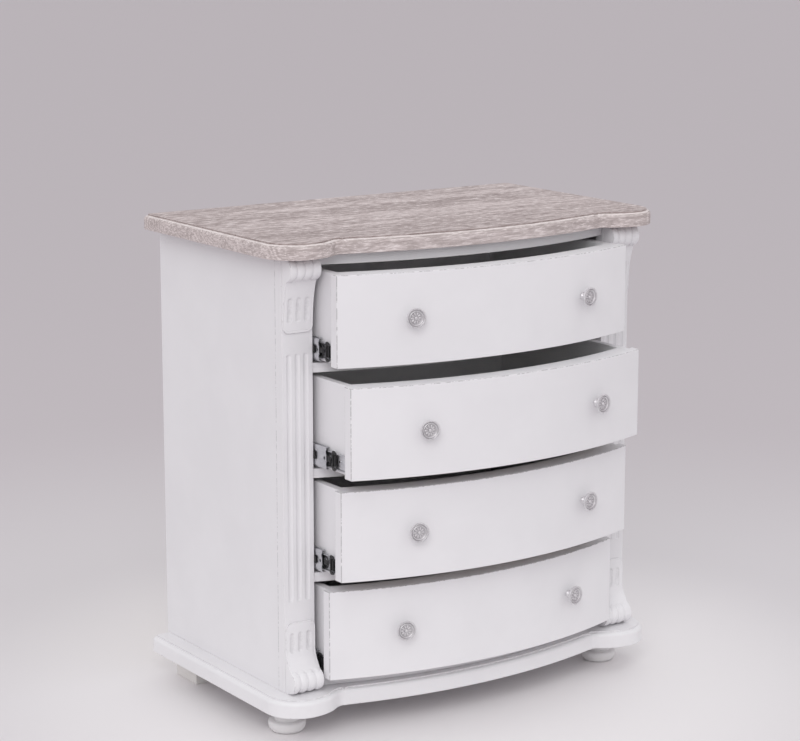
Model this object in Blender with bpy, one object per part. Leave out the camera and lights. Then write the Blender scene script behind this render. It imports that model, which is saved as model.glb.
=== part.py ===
"""Bow-fronted chest of four drawers: every piece as its own closed solid, drawers as photographed.

Metres, +Z up. The floor is Z = 0, X = 0 is the middle of the chest, and the drawers open towards -Y.
Inside the chest's own frame, Y = 0 is the face of the two front posts. FACE_Y places that face in the
world, so that the origin lies under the middle of the whole box of the object.
"""

import math

import bmesh
import bpy
from mathutils import Matrix, Vector

# Clearances
SEAT = 0.0003            # between pieces that touch
RUN = 0.0003             # between pieces that slide on each other
FRONT_GAP = 0.002        # above and below a drawer front
FRONT_END_GAP = 0.0035   # at each end of a drawer front
CUT_SPARE = 0.020        # how far a cutter runs past what it cuts
JOIN = 0.003             # how far a glued-on piece reaches into what holds it

# Case
HEIGHT = 0.940           # floor to the top of the top board
CASE_WIDTH = 0.806       # over the posts
CASE_DEPTH = 0.455       # post face to back edge
SIDE_THICKNESS = 0.018
POST_WIDTH = 0.066
POST_THICKNESS = 0.021
BACK_THICKNESS = 0.0055
BACK_REBATE = 0.009      # width of the rebate that takes the back
FOOT_HEIGHT = 0.054
BASE_THICKNESS = 0.034
TOP_THICKNESS = 0.030

# Rails between and around the drawers
BOTTOM_RAIL = 0.0225
DIVIDER_RAIL = 0.018
TOP_RAIL = 0.0215
RAIL_SETBACK = 0.004     # rails lie this far behind the closed fronts

# Plan of the top and base boards
BOARD_SIDE_OVERHANG = 0.038
BOARD_BOW = 0.044        # how far the bow swells past its own ends
BOW_START = 0.034        # the bow's ends lie this far ahead of the post face
BOW_END_INSET = 0.034    # and this far inside the posts' inner faces
EAR_REACH = 0.062        # ears over the posts, ahead of the post face
EAR_RADIUS = 0.066
SHOULDER_RADIUS = 0.100  # the slower round from an ear towards the bow
SHOULDER_WIDTH = 0.048
BACK_CORNER = 0.012
BOARD_MOULD = 0.008      # round moulding along the upper edge
BOARD_QUIRK = 0.003      # small step above that moulding
BOARD_EASE = 0.0015      # eased lower edge
SCOOP = 0.010            # rounding where ear and bow meet

# Drawer fronts and boxes
DRAWERS = 4
FRONT_THICKNESS = 0.020
FRONT_BOW = 0.060        # swell of the front over its own width
FRONT_EASE = 0.002       # eased edges around the face
BOX_SIDE = 0.015
BOX_BACK = 0.012
BOX_BOTTOM = 0.006
BOX_TOP_DROP = 0.007     # box sides end this far below the top of the front
BOX_FOOT_RISE = 0.004    # and start this far above its lower edge
BOTTOM_RISE = 0.010      # the bottom panel lies this far above the sides' lower edges
BOX_END_GAP = 0.030      # a closed drawer box stops this far short of the back edge
OPENINGS = (0.077, 0.122, 0.088, 0.046)  # how far each drawer stands open, top one first

# Knobs
KNOB_SPACING = 0.392
KNOB_RADIUS = 0.018
KNOB_REACH = 0.025
KNOB_LIP = 0.88          # radius of the raised lip, as a share of the knob's

# Telescopic slides
SLIDE_LENGTH = 0.400
SLIDE_START = 0.022      # front end of a closed slide, behind the post face
SLIDE_SPACE = 0.0127     # room between case and drawer box
SLIDE_RISE = 0.026       # middle of the slide above the front's lower edge
OUTER_HEIGHT = 0.053
MIDDLE_HEIGHT = 0.0438
INNER_HEIGHT = 0.031
SLIDE_STEEL = 0.0012
OUTER_DEPTH = 0.0092
MIDDLE_DEPTH = 0.0085
INNER_DEPTH = 0.0075
BALL_RUN_LENGTH = 0.180
BALL_RUN_END = 0.004     # from the rear end of its member
BALL_INSET = 0.001       # from the edges of the channel it runs in
RUNNER_HEIGHT = 0.060    # wooden rail on the side panel that carries a slide
RUNNER_END_GAP = 0.004   # ahead of the back panel

# Carved brackets on the posts
BRACKET_INSET = 0.001
ROLL_RADIUS = 0.022
ROLL_CENTRE = 0.0125     # ahead of the post face
ROLL_RISE = 0.023        # middle of the roll, from the end that bears on the board
REED_PITCH = 0.0165      # between the three grooves that part the roll into reeds
REED_DEPTH = 0.0025
TOP_BRACKET_HEIGHT = 0.141
BASE_BRACKET_HEIGHT = 0.134
BRACKET_CORNER = 0.013
# The hollow between roll and flat plate, as (ahead of the post, along it from the board)
TOP_HOLLOW = (
    (0.0166, 0.0446), (0.0128, 0.054), (0.0098, 0.0655), (0.0062, 0.0845), (0.0042, 0.1035),
    (0.003, 0.124),
)
BASE_HOLLOW = (
    (0.0185, 0.0442), (0.014, 0.0515), (0.01, 0.058), (0.0062, 0.066), (0.004, 0.073),
    (0.003, 0.08),
)

# Flutes on the posts
FLUTES = 3
FLUTE_PITCH = 0.018
FLUTE_WIDTH = 0.011
FLUTE_RADIUS = 0.008
FLUTE_MARGIN = 0.039     # from the brackets' ends

# Feet
BUN_RADIUS = 0.036
BUN_HEIGHT = 0.022       # the flattened ball below the neck
NECK_RADIUS = 0.024
# Outline of the ball, as (share of its radius, share of its height)
BUN_OUTLINE = (
    (0.70, 0), (0.84, 0.14), (0.92, 0.32), (0.98, 0.55), (1, 0.75), (0.975, 0.89), (0.9, 0.97),
    (0.75, 1),
)
BUN_SIDE_INSET = 0.028   # foot's middle inside the case side
BUN_FRONT_INSET = 0.040  # and behind the post face
BLOCK_WIDTH = 0.062
BLOCK_DEPTH = 0.080
BLOCK_SIDE_INSET = 0.010
BLOCK_BACK_INSET = 0.017

# Smoothness
BOW_STEPS = 24
BOX_STEPS = 16
EAR_STEPS = 7
ROUND_STEPS = 20

# Heights and places that follow from the sizes above
BASE_TOP = FOOT_HEIGHT + BASE_THICKNESS
CASE_TOP = HEIGHT - TOP_THICKNESS
SIDE_HEIGHT = CASE_TOP - BASE_TOP
RAILS = BOTTOM_RAIL + (DRAWERS - 1) * DIVIDER_RAIL + TOP_RAIL
FRONT_HEIGHT = (SIDE_HEIGHT - RAILS) / DRAWERS - 2 * FRONT_GAP
PITCH = FRONT_HEIGHT + 2 * FRONT_GAP + DIVIDER_RAIL
POST_INNER = CASE_WIDTH / 2 - POST_WIDTH
FRONT_HALF = POST_INNER - FRONT_END_GAP
BOX_HALF = POST_INNER - SLIDE_SPACE
BACK_FACE = CASE_DEPTH - BACK_THICKNESS
BOX_END = CASE_DEPTH - BOX_END_GAP
BOW_HALF_WIDTH = POST_INNER - BOW_END_INSET
FLUTE_LENGTH = SIDE_HEIGHT - TOP_BRACKET_HEIGHT - BASE_BRACKET_HEIGHT - 2 * FLUTE_MARGIN
BOARD_HALF = CASE_WIDTH / 2 + BOARD_SIDE_OVERHANG
FRONT_RADIUS = (FRONT_HALF**2 + FRONT_BOW**2) / (2 * FRONT_BOW)
FRONT_CENTRE = FRONT_RADIUS - FRONT_BOW  # middle of the front's circle, behind its end line
KNOB_TILT = math.asin(KNOB_SPACING / 2 / FRONT_RADIUS)
KNOB_SEAT = Vector((KNOB_SPACING / 2, FRONT_CENTRE - FRONT_RADIUS * math.cos(KNOB_TILT)))
KNOB_FRONT = KNOB_REACH * math.cos(KNOB_TILT) + KNOB_LIP * KNOB_RADIUS * math.sin(KNOB_TILT)
FRONT_REACH = max(OPENINGS) + max(FRONT_BOW, KNOB_FRONT - KNOB_SEAT.y)
FACE_Y = -(CASE_DEPTH - FRONT_REACH) / 2


def clear_scene():
    """Removes what the start-up file holds."""
    for old in list(bpy.data.objects):
        bpy.data.objects.remove(old)


def material(name, colour, roughness, metallic=0.0):
    """A Principled material in one colour."""
    made = bpy.data.materials.new(name)
    made.use_nodes = True
    shader = made.node_tree.nodes["Principled BSDF"]
    shader.inputs["Base Color"].default_value = (*colour, 1.0)
    shader.inputs["Roughness"].default_value = roughness
    shader.inputs["Metallic"].default_value = metallic
    made.diffuse_color = (*colour, 1.0)
    return made


def empty(name, parent, place=(0, 0, 0)):
    """A frame that pieces hang on."""
    made = bpy.data.objects.new(name, None)
    bpy.context.collection.objects.link(made)
    made.parent = parent
    made.location = place
    return made


def piece(name, mesh, finish, parent, place=(0, 0, 0), turn=0.0, smooth=False):
    """Turns a bmesh into a named object. turn is about Z, in radians."""
    bmesh.ops.recalc_face_normals(mesh, faces=mesh.faces)
    data = bpy.data.meshes.new(name)
    mesh.to_mesh(data)
    mesh.free()
    data.materials.append(finish)
    data.polygons.foreach_set("use_smooth", [smooth] * len(data.polygons))
    made = bpy.data.objects.new(name, data)
    bpy.context.collection.objects.link(made)
    made.parent = parent
    made.location = place
    made.rotation_euler = (0, 0, turn)
    return made


def boolean(target, cutter, operation="DIFFERENCE"):
    """Joins or cuts target with a hidden helper that shares its parent."""
    cutter.hide_render = True
    cutter.display_type = "WIRE"
    step = target.modifiers.new(cutter.name, "BOOLEAN")
    step.operation = operation
    step.solver = "EXACT"
    step.object = cutter


def arc(centre, radius, start, end, steps):
    """Points along an arc, angles in degrees, both ends included."""
    turns = [math.radians(start + (end - start) * i / steps) for i in range(steps + 1)]
    return [(centre[0] + radius * math.cos(t), centre[1] + radius * math.sin(t)) for t in turns]


def bow(half_width, centre, radius, steps=BOW_STEPS):
    """Points from -X to +X along a circle about (0, centre), on its -Y side."""
    turn = math.degrees(math.asin(half_width / radius))
    return arc((0, centre), radius, 270 - turn, 270 + turn, steps)


def prism(points, low, high, axis="Z"):
    """A closed outline raised into a solid along Z, or along X with points as (y, z)."""
    mesh = bmesh.new()
    if axis == "Z":
        corners = [mesh.verts.new((x, y, low)) for x, y in points]
        lift = Vector((0, 0, high - low))
    else:
        corners = [mesh.verts.new((low, y, z)) for y, z in points]
        lift = Vector((high - low, 0, 0))
    face = mesh.faces.new(corners)
    raised = bmesh.ops.extrude_face_region(mesh, geom=[face])["geom"]
    tops = [item for item in raised if isinstance(item, bmesh.types.BMVert)]
    bmesh.ops.translate(mesh, verts=tops, vec=lift)
    return mesh


def block(low, high):
    """A plain block between two corners."""
    size = Vector(high) - Vector(low)
    middle = (Vector(high) + Vector(low)) / 2
    mesh = bmesh.new()
    bmesh.ops.create_cube(mesh, size=1.0)
    bmesh.ops.scale(mesh, verts=mesh.verts, vec=size)
    bmesh.ops.translate(mesh, verts=mesh.verts, vec=middle)
    return mesh


def lathe(profile, steps=ROUND_STEPS):
    """Turns (radius, height) points about Z. The first and last point lie on the axis."""
    mesh = bmesh.new()
    verts = [mesh.verts.new((radius, 0, height)) for radius, height in profile]
    edges = [mesh.edges.new(pair) for pair in zip(verts, verts[1:])]
    bmesh.ops.spin(
        mesh, geom=verts + edges, axis=(0, 0, 1), cent=(0, 0, 0),
        angle=math.tau, steps=steps, use_merge=True,
    )
    bmesh.ops.remove_doubles(mesh, verts=mesh.verts, dist=1e-6)
    return mesh


def level_edges(mesh, height):
    """Edges between a horizontal face at this height and an upright one."""
    found = []
    for edge in mesh.edges:
        flat = all(abs(corner.co.z - height) < 1e-6 for corner in edge.verts)
        upright = any(abs(face.normal.z) < 0.1 for face in edge.link_faces)
        if flat and upright:
            found.append(edge)
    return found


def round_edges(mesh, edges, offset, segments):
    """Rounds the edges given."""
    bmesh.ops.bevel(
        mesh, geom=edges, offset=offset, segments=segments, profile=0.5,
        affect="EDGES", material=-1,
    )


def board_outline():
    """Plan of the top and base boards: straight back and sides, round ears, and a bow between."""
    ear_x = BOARD_HALF - EAR_RADIUS
    shoulder = math.degrees(math.asin(SHOULDER_WIDTH / SHOULDER_RADIUS))
    radius = (BOW_HALF_WIDTH**2 + BOARD_BOW**2) / (2 * BOARD_BOW)
    left = arc((-ear_x, EAR_RADIUS - EAR_REACH), EAR_RADIUS, 180, 270, EAR_STEPS)
    left += arc((-ear_x, SHOULDER_RADIUS - EAR_REACH), SHOULDER_RADIUS, 270, 270 + shoulder, 3)[1:]
    middle = bow(BOW_HALF_WIDTH, radius - BOARD_BOW - BOW_START, radius)
    right = [(-x, y) for x, y in reversed(left)]
    back_y = CASE_DEPTH - BACK_CORNER
    back_x = BOARD_HALF - BACK_CORNER
    back = arc((back_x, back_y), BACK_CORNER, 0, 90, 3)
    back += arc((-back_x, back_y), BACK_CORNER, 90, 180, 3)
    return left + middle + right + back


def moulded_board(name, low, thickness, finish, chest):
    """A board with a round moulding and a small step along its upper edge."""
    high = low + thickness - BOARD_QUIRK
    mesh = prism(board_outline(), low, high)
    corners = []
    for edge in mesh.edges:
        upright = abs(edge.verts[0].co.z - edge.verts[1].co.z) > thickness / 2
        spot = edge.verts[0].co
        if upright and abs(abs(spot.x) - BOW_HALF_WIDTH) < 1e-6 and spot.y < 0:
            corners.append(edge)
    round_edges(mesh, corners, SCOOP, 2)
    bmesh.ops.recalc_face_normals(mesh, faces=mesh.faces)
    round_edges(mesh, level_edges(mesh, high), BOARD_MOULD, 3)
    bmesh.ops.recalc_face_normals(mesh, faces=mesh.faces)
    round_edges(mesh, level_edges(mesh, low), BOARD_EASE, 1)
    top = max(mesh.faces, key=lambda face: face.calc_center_median().z)
    raised = bmesh.ops.extrude_discrete_faces(mesh, faces=[top])["faces"]
    bmesh.ops.translate(mesh, verts=raised[0].verts, vec=(0, 0, BOARD_QUIRK))
    return piece(name, mesh, finish, chest)


def case(paint, wood, raw, chest):
    """The fixed carcass: boards, panels, posts, rails and feet."""
    moulded_board("top_board", CASE_TOP, TOP_THICKNESS, wood, chest)
    moulded_board("base_board", FOOT_HEIGHT, BASE_THICKNESS, paint, chest)
    low = BASE_TOP + SEAT
    high = CASE_TOP - SEAT
    half = CASE_WIDTH / 2
    back_half = half - BACK_REBATE - SEAT
    back = block((-back_half, BACK_FACE, low), (back_half, CASE_DEPTH, high))
    piece("back_panel", back, raw, chest)
    for side, word in ((-1, "left"), (1, "right")):
        side_panel(side, word, low, high, paint, chest)
        front_post(side, word, low, high, paint, chest)
        bracket("top_bracket_" + word, side, True, paint, chest)
        bracket("base_bracket_" + word, side, False, paint, chest)
        feet(side, word, paint, raw, chest)
    rails(low, high, paint, chest)


def side_panel(side, word, low, high, finish, chest):
    """A side panel, rebated for the back, with the four wooden runners that carry the slides."""
    outer = CASE_WIDTH / 2
    inner = outer - SIDE_THICKNESS
    start = POST_THICKNESS + SEAT
    rebate = BACK_FACE - SEAT
    plan = [
        (side * outer, start), (side * outer, CASE_DEPTH), (side * (outer - BACK_REBATE), CASE_DEPTH),
        (side * (outer - BACK_REBATE), rebate), (side * inner, rebate), (side * inner, start),
    ]
    panel = piece("side_panel_" + word, prism(plan, low, high), finish, chest)
    for number in range(1, DRAWERS + 1):
        middle = front_low(number) + SLIDE_RISE
        across = sorted((side * POST_INNER, side * (inner + JOIN)))
        runner = block(
            (across[0], start, middle - RUNNER_HEIGHT / 2),
            (across[1], rebate - RUNNER_END_GAP, middle + RUNNER_HEIGHT / 2),
        )
        helper = piece(f"runner_{number}_{word}", runner, finish, chest)
        boolean(panel, helper, "UNION")


def front_post(side, word, low, high, finish, chest):
    """A front post with stopped flutes on its face."""
    middle = side * (CASE_WIDTH / 2 - POST_WIDTH / 2)
    half = POST_WIDTH / 2
    post = piece(
        "front_post_" + word,
        block((middle - half, 0, low), (middle + half, POST_THICKNESS, high)), finish, chest,
    )
    depth = math.sqrt(FLUTE_RADIUS**2 - (FLUTE_WIDTH / 2) ** 2)
    for number in range(FLUTES):
        x = middle + (number - (FLUTES - 1) / 2) * FLUTE_PITCH
        cutter = bmesh.new()
        bmesh.ops.create_cone(
            cutter, cap_ends=True, segments=16, radius1=FLUTE_RADIUS, radius2=FLUTE_RADIUS,
            depth=FLUTE_LENGTH,
        )
        centre = BASE_TOP + BASE_BRACKET_HEIGHT + FLUTE_MARGIN + FLUTE_LENGTH / 2
        helper = piece(f"flute_{number + 1}_{word}", cutter, finish, chest, (x, -depth, centre))
        boolean(post, helper)


def bracket_profile(hollow, groove, end):
    """Side outline of a bracket as (y, z), from the board that it bears on."""
    roll = ROLL_RADIUS - groove
    ahead, along = hollow[0]
    turn = math.degrees(math.atan2(along - ROLL_RISE, ROLL_CENTRE - ahead))
    outline = [(0, 0), (-ROLL_CENTRE, 0)]
    outline += arc((-ROLL_CENTRE, ROLL_RISE), roll, 270, turn, 10)[:-1]
    outline += [(-ahead, along) for ahead, along in hollow]
    outline += [(-hollow[-1][0], end), (0, end)]
    return outline


def bracket(name, side, top, finish, chest):
    """A carved bracket: a reeded roll that hollows out into a flat, round-ended plate."""
    hollow, height = (TOP_HOLLOW, TOP_BRACKET_HEIGHT) if top else (BASE_HOLLOW, BASE_BRACKET_HEIGHT)
    half = POST_WIDTH / 2 - BRACKET_INSET
    spare = CUT_SPARE
    mesh = bmesh.new()
    rings = []
    crowns = (REED_PITCH * 1.5, REED_PITCH / 2)
    stations = [-half, -crowns[0], -REED_PITCH, -crowns[1], 0, crowns[1], REED_PITCH, crowns[0], half]
    for number, x in enumerate(stations):
        groove = REED_DEPTH if number in (2, 4, 6) else 0
        outline = bracket_profile(hollow, groove, height + spare)
        rings.append([mesh.verts.new((x, y, z)) for y, z in outline])
    for first, second in zip(rings, rings[1:]):
        for a, b, c, d in zip(first, first[1:] + first[:1], second[1:] + second[:1], second):
            mesh.faces.new((a, b, c, d))
    mesh.faces.new(rings[0])
    mesh.faces.new(rings[-1])
    edge = half + spare
    corner = arc((half - BRACKET_CORNER, height - BRACKET_CORNER), BRACKET_CORNER, 0, 90, 5)
    shape = [(edge, -spare), (edge, corner[0][1] - spare)] + corner
    shape += [(-x, z) for x, z in reversed(shape)]
    trim = bmesh.new()
    face = trim.faces.new([trim.verts.new((x, spare, z)) for x, z in shape])
    raised = bmesh.ops.extrude_face_region(trim, geom=[face])["geom"]
    fronts = [item for item in raised if isinstance(item, bmesh.types.BMVert)]
    bmesh.ops.translate(trim, verts=fronts, vec=(0, -ROLL_CENTRE - ROLL_RADIUS - 2 * spare, 0))
    if top:
        for part in (mesh, trim):
            bmesh.ops.scale(part, verts=part.verts, vec=(1, 1, -1))
    seat = CASE_TOP - SEAT if top else BASE_TOP + SEAT
    place = (side * (CASE_WIDTH / 2 - POST_WIDTH / 2), -SEAT, seat)
    made = piece(name, mesh, finish, chest, place)
    boolean(made, piece(name + "_outline", trim, finish, chest, place), "INTERSECT")
    return made


def feet(side, word, paint, raw, chest):
    """A turned bun foot in front and a plain block behind."""
    half = CASE_WIDTH / 2
    high = FOOT_HEIGHT - SEAT
    ball = [(across * BUN_RADIUS, up * BUN_HEIGHT) for across, up in BUN_OUTLINE]
    profile = [(0, 0)] + ball + [(NECK_RADIUS, BUN_HEIGHT + 0.001), (NECK_RADIUS, high), (0, high)]
    place = (side * (half - BUN_SIDE_INSET), BUN_FRONT_INSET, 0)
    piece("bun_foot_" + word, lathe(profile), paint, chest, place)
    x = side * (half - BLOCK_SIDE_INSET - BLOCK_WIDTH / 2)
    y = CASE_DEPTH - BLOCK_BACK_INSET - BLOCK_DEPTH / 2
    low = (x - BLOCK_WIDTH / 2, y - BLOCK_DEPTH / 2, 0)
    piece("block_foot_" + word, block(low, (x + BLOCK_WIDTH / 2, y + BLOCK_DEPTH / 2, high)), raw, chest)


def rails(low, high, finish, chest):
    """Bowed rails below, between and above the drawers."""
    half = POST_INNER - SEAT
    plan = bow(half, FRONT_CENTRE, FRONT_RADIUS - RAIL_SETBACK)
    plan += [(half, POST_THICKNESS), (-half, POST_THICKNESS)]
    levels = [("bottom_rail", low, front_low(DRAWERS) - FRONT_GAP)]
    for number in range(1, DRAWERS):
        rise = front_low(number) - FRONT_GAP
        levels.append((f"divider_rail_{number}", rise - DIVIDER_RAIL, rise))
    levels.append(("top_rail", front_low(1) + FRONT_HEIGHT + FRONT_GAP, high))
    for name, bottom, top in levels:
        piece(name, prism(plan, bottom, top), finish, chest)


def front_low(number):
    """Lower edge of a drawer front. Drawer 1 is the top one."""
    return BASE_TOP + BOTTOM_RAIL + FRONT_GAP + (DRAWERS - number) * PITCH


def drawer_front(name, low, finish, drawer):
    """A bowed board with eased edges around its face."""
    face = bow(FRONT_HALF, FRONT_CENTRE, FRONT_RADIUS)
    back = bow(FRONT_HALF, FRONT_CENTRE, FRONT_RADIUS - FRONT_THICKNESS)
    mesh = prism(face + list(reversed(back)), low, low + FRONT_HEIGHT)
    bmesh.ops.recalc_face_normals(mesh, faces=mesh.faces)
    shown = [part for part in mesh.faces if part.normal.y < -0.5]
    border = [
        edge for edge in mesh.edges
        if sum(link in shown for link in edge.link_faces) == 1
    ]
    round_edges(mesh, border, FRONT_EASE, 2)
    return piece(name, mesh, finish, drawer)


def drawer_box(name, low, finish, drawer):
    """Sides, back and bottom of a drawer, glued up into one open box behind the bowed front."""
    seat = FRONT_RADIUS - FRONT_THICKNESS - SEAT
    bottom = low + BOX_FOOT_RISE
    top = low + FRONT_HEIGHT - BOX_TOP_DROP
    plan = bow(BOX_HALF, FRONT_CENTRE, seat, BOX_STEPS)
    plan += [(BOX_HALF, BOX_END), (-BOX_HALF, BOX_END)]
    box = piece(name, prism(plan, bottom, top), finish, drawer)
    inner = BOX_HALF - BOX_SIDE
    floor = bottom + BOTTOM_RISE
    front = -FRONT_BOW - CUT_SPARE
    rear = BOX_END - BOX_BACK
    room = block((-inner, front, floor + BOX_BOTTOM), (inner, rear, top + CUT_SPARE))
    boolean(box, piece(name + "_inside", room, finish, drawer))
    under = block((-inner, front, bottom - CUT_SPARE), (inner, rear, floor))
    boolean(box, piece(name + "_underside", under, finish, drawer))
    return box


def knob(name, side, middle, finish, drawer):
    """A dished round knob on a waisted stem, square to the bowed face."""
    r = KNOB_RADIUS
    reach = KNOB_REACH
    profile = [
        (0, SEAT), (0.36 * r, SEAT), (0.36 * r, 0.0025), (0.26 * r, 0.004), (0.22 * r, 0.011),
        (0.34 * r, 0.0165), (0.94 * r, 0.0185), (r, 0.0205), (0.98 * r, reach - 0.001),
        (KNOB_LIP * r, reach), (0.78 * r, reach - 0.001), (0.62 * r, reach - 0.002), (0, reach - 0.001),
    ]
    mesh = lathe(profile)
    bmesh.ops.rotate(mesh, verts=mesh.verts, matrix=Matrix.Rotation(math.pi / 2, 3, "X"))
    place = (side * KNOB_SEAT.x, KNOB_SEAT.y, middle)
    return piece(name, mesh, finish, drawer, place, turn=side * KNOB_TILT)


def channel(open_side, web, height, depth):
    """Section of a C channel as (x, z): web at x = web, legs towards open_side."""
    half = height / 2
    steel = SLIDE_STEEL
    return [
        (web, -half), (web + open_side * depth, -half), (web + open_side * depth, steel - half),
        (web + open_side * steel, steel - half), (web + open_side * steel, half - steel),
        (web + open_side * depth, half - steel), (web + open_side * depth, half), (web, half),
    ]


def slide_member(name, section, start, middle, finish, parent):
    """One member of a slide, drawn from its section along Y."""
    mesh = bmesh.new()
    face = mesh.faces.new([mesh.verts.new((x, start, middle + z)) for x, z in section])
    raised = bmesh.ops.extrude_face_region(mesh, geom=[face])["geom"]
    ends = [item for item in raised if isinstance(item, bmesh.types.BMVert)]
    bmesh.ops.translate(mesh, verts=ends, vec=(0, SLIDE_LENGTH, 0))
    return piece(name, mesh, finish, parent)


def ball_runs(member, x_range, own_height, room_height, middle, finish, parent):
    """Joins the caged ball rows to the rear of a member, above and below it."""
    rear = SLIDE_START + SLIDE_LENGTH
    near = own_height / 2 - SLIDE_STEEL / 2
    far = room_height / 2 - SLIDE_STEEL - RUN
    for sign, word in ((1, "upper"), (-1, "lower")):
        low = (min(x_range), rear - BALL_RUN_LENGTH, middle + min(sign * near, sign * far))
        high = (max(x_range), rear - BALL_RUN_END, middle + max(sign * near, sign * far))
        boolean(member, piece(f"{member.name}_{word}_balls", block(low, high), finish, parent), "UNION")


def slide(number, side, word, finish, chest, carrier, drawer):
    """A three-part ball-bearing slide: case member, travelling member and drawer member."""
    middle = front_low(number) + SLIDE_RISE
    inward = -side
    wall = side * POST_INNER + inward * SEAT
    box_face = side * BOX_HALF - inward * SEAT
    outer = channel(inward, wall, OUTER_HEIGHT, OUTER_DEPTH)
    slide_member(f"slide_case_member_{number}_{word}", outer, SLIDE_START, middle, finish, chest)
    web = wall + inward * (SLIDE_STEEL + 2 * RUN)
    section = channel(inward, web, MIDDLE_HEIGHT, MIDDLE_DEPTH)
    travelling = slide_member(
        f"slide_middle_member_{number}_{word}", section, SLIDE_START, middle, finish, carrier
    )
    reach = (web + inward * BALL_INSET, web + inward * (OUTER_DEPTH - SLIDE_STEEL - 2 * BALL_INSET))
    ball_runs(travelling, reach, MIDDLE_HEIGHT, OUTER_HEIGHT, middle, finish, carrier)
    section = channel(side, box_face, INNER_HEIGHT, INNER_DEPTH)
    inner = slide_member(
        f"slide_drawer_member_{number}_{word}", section, SLIDE_START, middle, finish, drawer
    )
    reach = (box_face + side * (INNER_DEPTH - BALL_INSET), box_face + side * 2 * BALL_INSET)
    ball_runs(inner, reach, INNER_HEIGHT, MIDDLE_HEIGHT, middle, finish, drawer)


def drawer(number, paint, lining, pewter, steel, chest):
    """A drawer with its knobs and both its slides, open as photographed."""
    opening = OPENINGS[number - 1]
    low = front_low(number)
    moving = empty(f"drawer_{number}_frame", chest, (0, -opening, 0))
    carrier = empty(f"slide_{number}_frame", chest, (0, -opening / 2, 0))
    drawer_front(f"drawer_front_{number}", low, paint, moving)
    drawer_box(f"drawer_box_{number}", low, lining, moving)
    for side, word in ((-1, "left"), (1, "right")):
        knob(f"knob_{number}_{word}", side, low + FRONT_HEIGHT / 2, pewter, moving)
        slide(number, side, word, steel, chest, carrier, moving)


def main():
    clear_scene()
    paint = material("white_paint", (0.76, 0.75, 0.77), 0.45)
    wood = material("limed_oak", (0.46, 0.39, 0.38), 0.6)
    raw = material("raw_board", (0.66, 0.60, 0.52), 0.7)
    lining = material("drawer_box_finish", (0.30, 0.30, 0.32), 0.6)
    pewter = material("antique_pewter", (0.42, 0.42, 0.43), 0.4, 1.0)
    steel = material("zinc_steel", (0.66, 0.68, 0.70), 0.35, 1.0)
    chest = empty("chest_frame", None, (0, FACE_Y, 0))
    case(paint, wood, raw, chest)
    for number in range(1, DRAWERS + 1):
        drawer(number, paint, lining, pewter, steel, chest)


main()
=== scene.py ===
"""Looks of a bow-fronted chest of four drawers: worn white paint under a limed oak top.

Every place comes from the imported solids, in metres, +Z up, with the drawers opening towards -Y.
Each sub-assembly is a class that builds its pieces around the solids that they stand for, and each
finish is a small frozen class that makes its own material.
"""

import logging
import math
from collections.abc import Callable, Iterable, Sequence
from dataclasses import dataclass, field
from enum import Enum

import bmesh
import bpy
from mathutils import Matrix, Vector


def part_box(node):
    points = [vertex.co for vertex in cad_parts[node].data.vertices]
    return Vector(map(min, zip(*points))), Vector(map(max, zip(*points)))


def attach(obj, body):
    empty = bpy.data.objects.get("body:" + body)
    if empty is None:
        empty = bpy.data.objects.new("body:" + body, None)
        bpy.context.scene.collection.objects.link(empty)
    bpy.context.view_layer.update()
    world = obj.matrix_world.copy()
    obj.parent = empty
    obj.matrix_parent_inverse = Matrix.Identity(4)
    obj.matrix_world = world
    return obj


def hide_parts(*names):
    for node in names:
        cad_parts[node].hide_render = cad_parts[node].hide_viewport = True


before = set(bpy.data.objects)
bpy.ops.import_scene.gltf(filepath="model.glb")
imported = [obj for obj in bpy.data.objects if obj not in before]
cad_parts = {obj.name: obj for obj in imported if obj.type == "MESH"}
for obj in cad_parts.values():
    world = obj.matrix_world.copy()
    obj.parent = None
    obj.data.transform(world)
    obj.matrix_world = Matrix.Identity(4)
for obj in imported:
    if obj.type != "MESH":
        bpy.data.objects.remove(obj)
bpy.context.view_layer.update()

log = logging.getLogger("chest")

Point = tuple[float, float]
Colour = tuple[float, float, float, float]
Stretch = tuple[float, float, float]
Mesh = bmesh.types.BMesh
Material = bpy.types.Material
Socket = bpy.types.NodeSocket

WORN = "worn"            # attribute that marks edges where the finish wears through
HOLLOW = "hollow"        # attribute that marks hollows, where the finishes paint shade
SEAT = 0.0003            # between pieces that touch
NEAR = 1e-5              # places closer than this are one
DRAWERS = 4


class Slot(Enum):
    """Material slots of the record."""

    PAINT = "white_paint"
    OAK = "limed_oak"
    BOARD = "raw_board"
    BOX = "drawer_box_finish"
    PEWTER = "antique_pewter"
    STEEL = "zinc_steel"


class Side(Enum):
    """The two sides of the chest, as seen from the front."""

    LEFT = -1
    RIGHT = 1

    @property
    def word(self) -> str:
        """The side's name in a piece's name."""
        return self.name.lower()


class End(Enum):
    """The two ends of a post, each with its own carved bracket."""

    TOP = "top"
    BASE = "base"


# Outlines


def arc(centre: Point, radius: float, start: float, end: float, steps: int) -> list[Point]:
    """Points along an arc, both ends included.

    Args:
        centre: Middle of the circle.
        radius: Its radius.
        start: First angle in degrees.
        end: Last angle in degrees.
        steps: Number of chords.

    Returns:
        The points in order.
    """
    turns = [math.radians(start + (end - start) * i / steps) for i in range(steps + 1)]
    return [(centre[0] + radius * math.cos(t), centre[1] + radius * math.sin(t)) for t in turns]


def mirrored(points: Iterable[Point]) -> list[Point]:
    """An outline's mirror image across X = 0, in the reverse order."""
    return [(-x, y) for x, y in reversed(list(points))]


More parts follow.
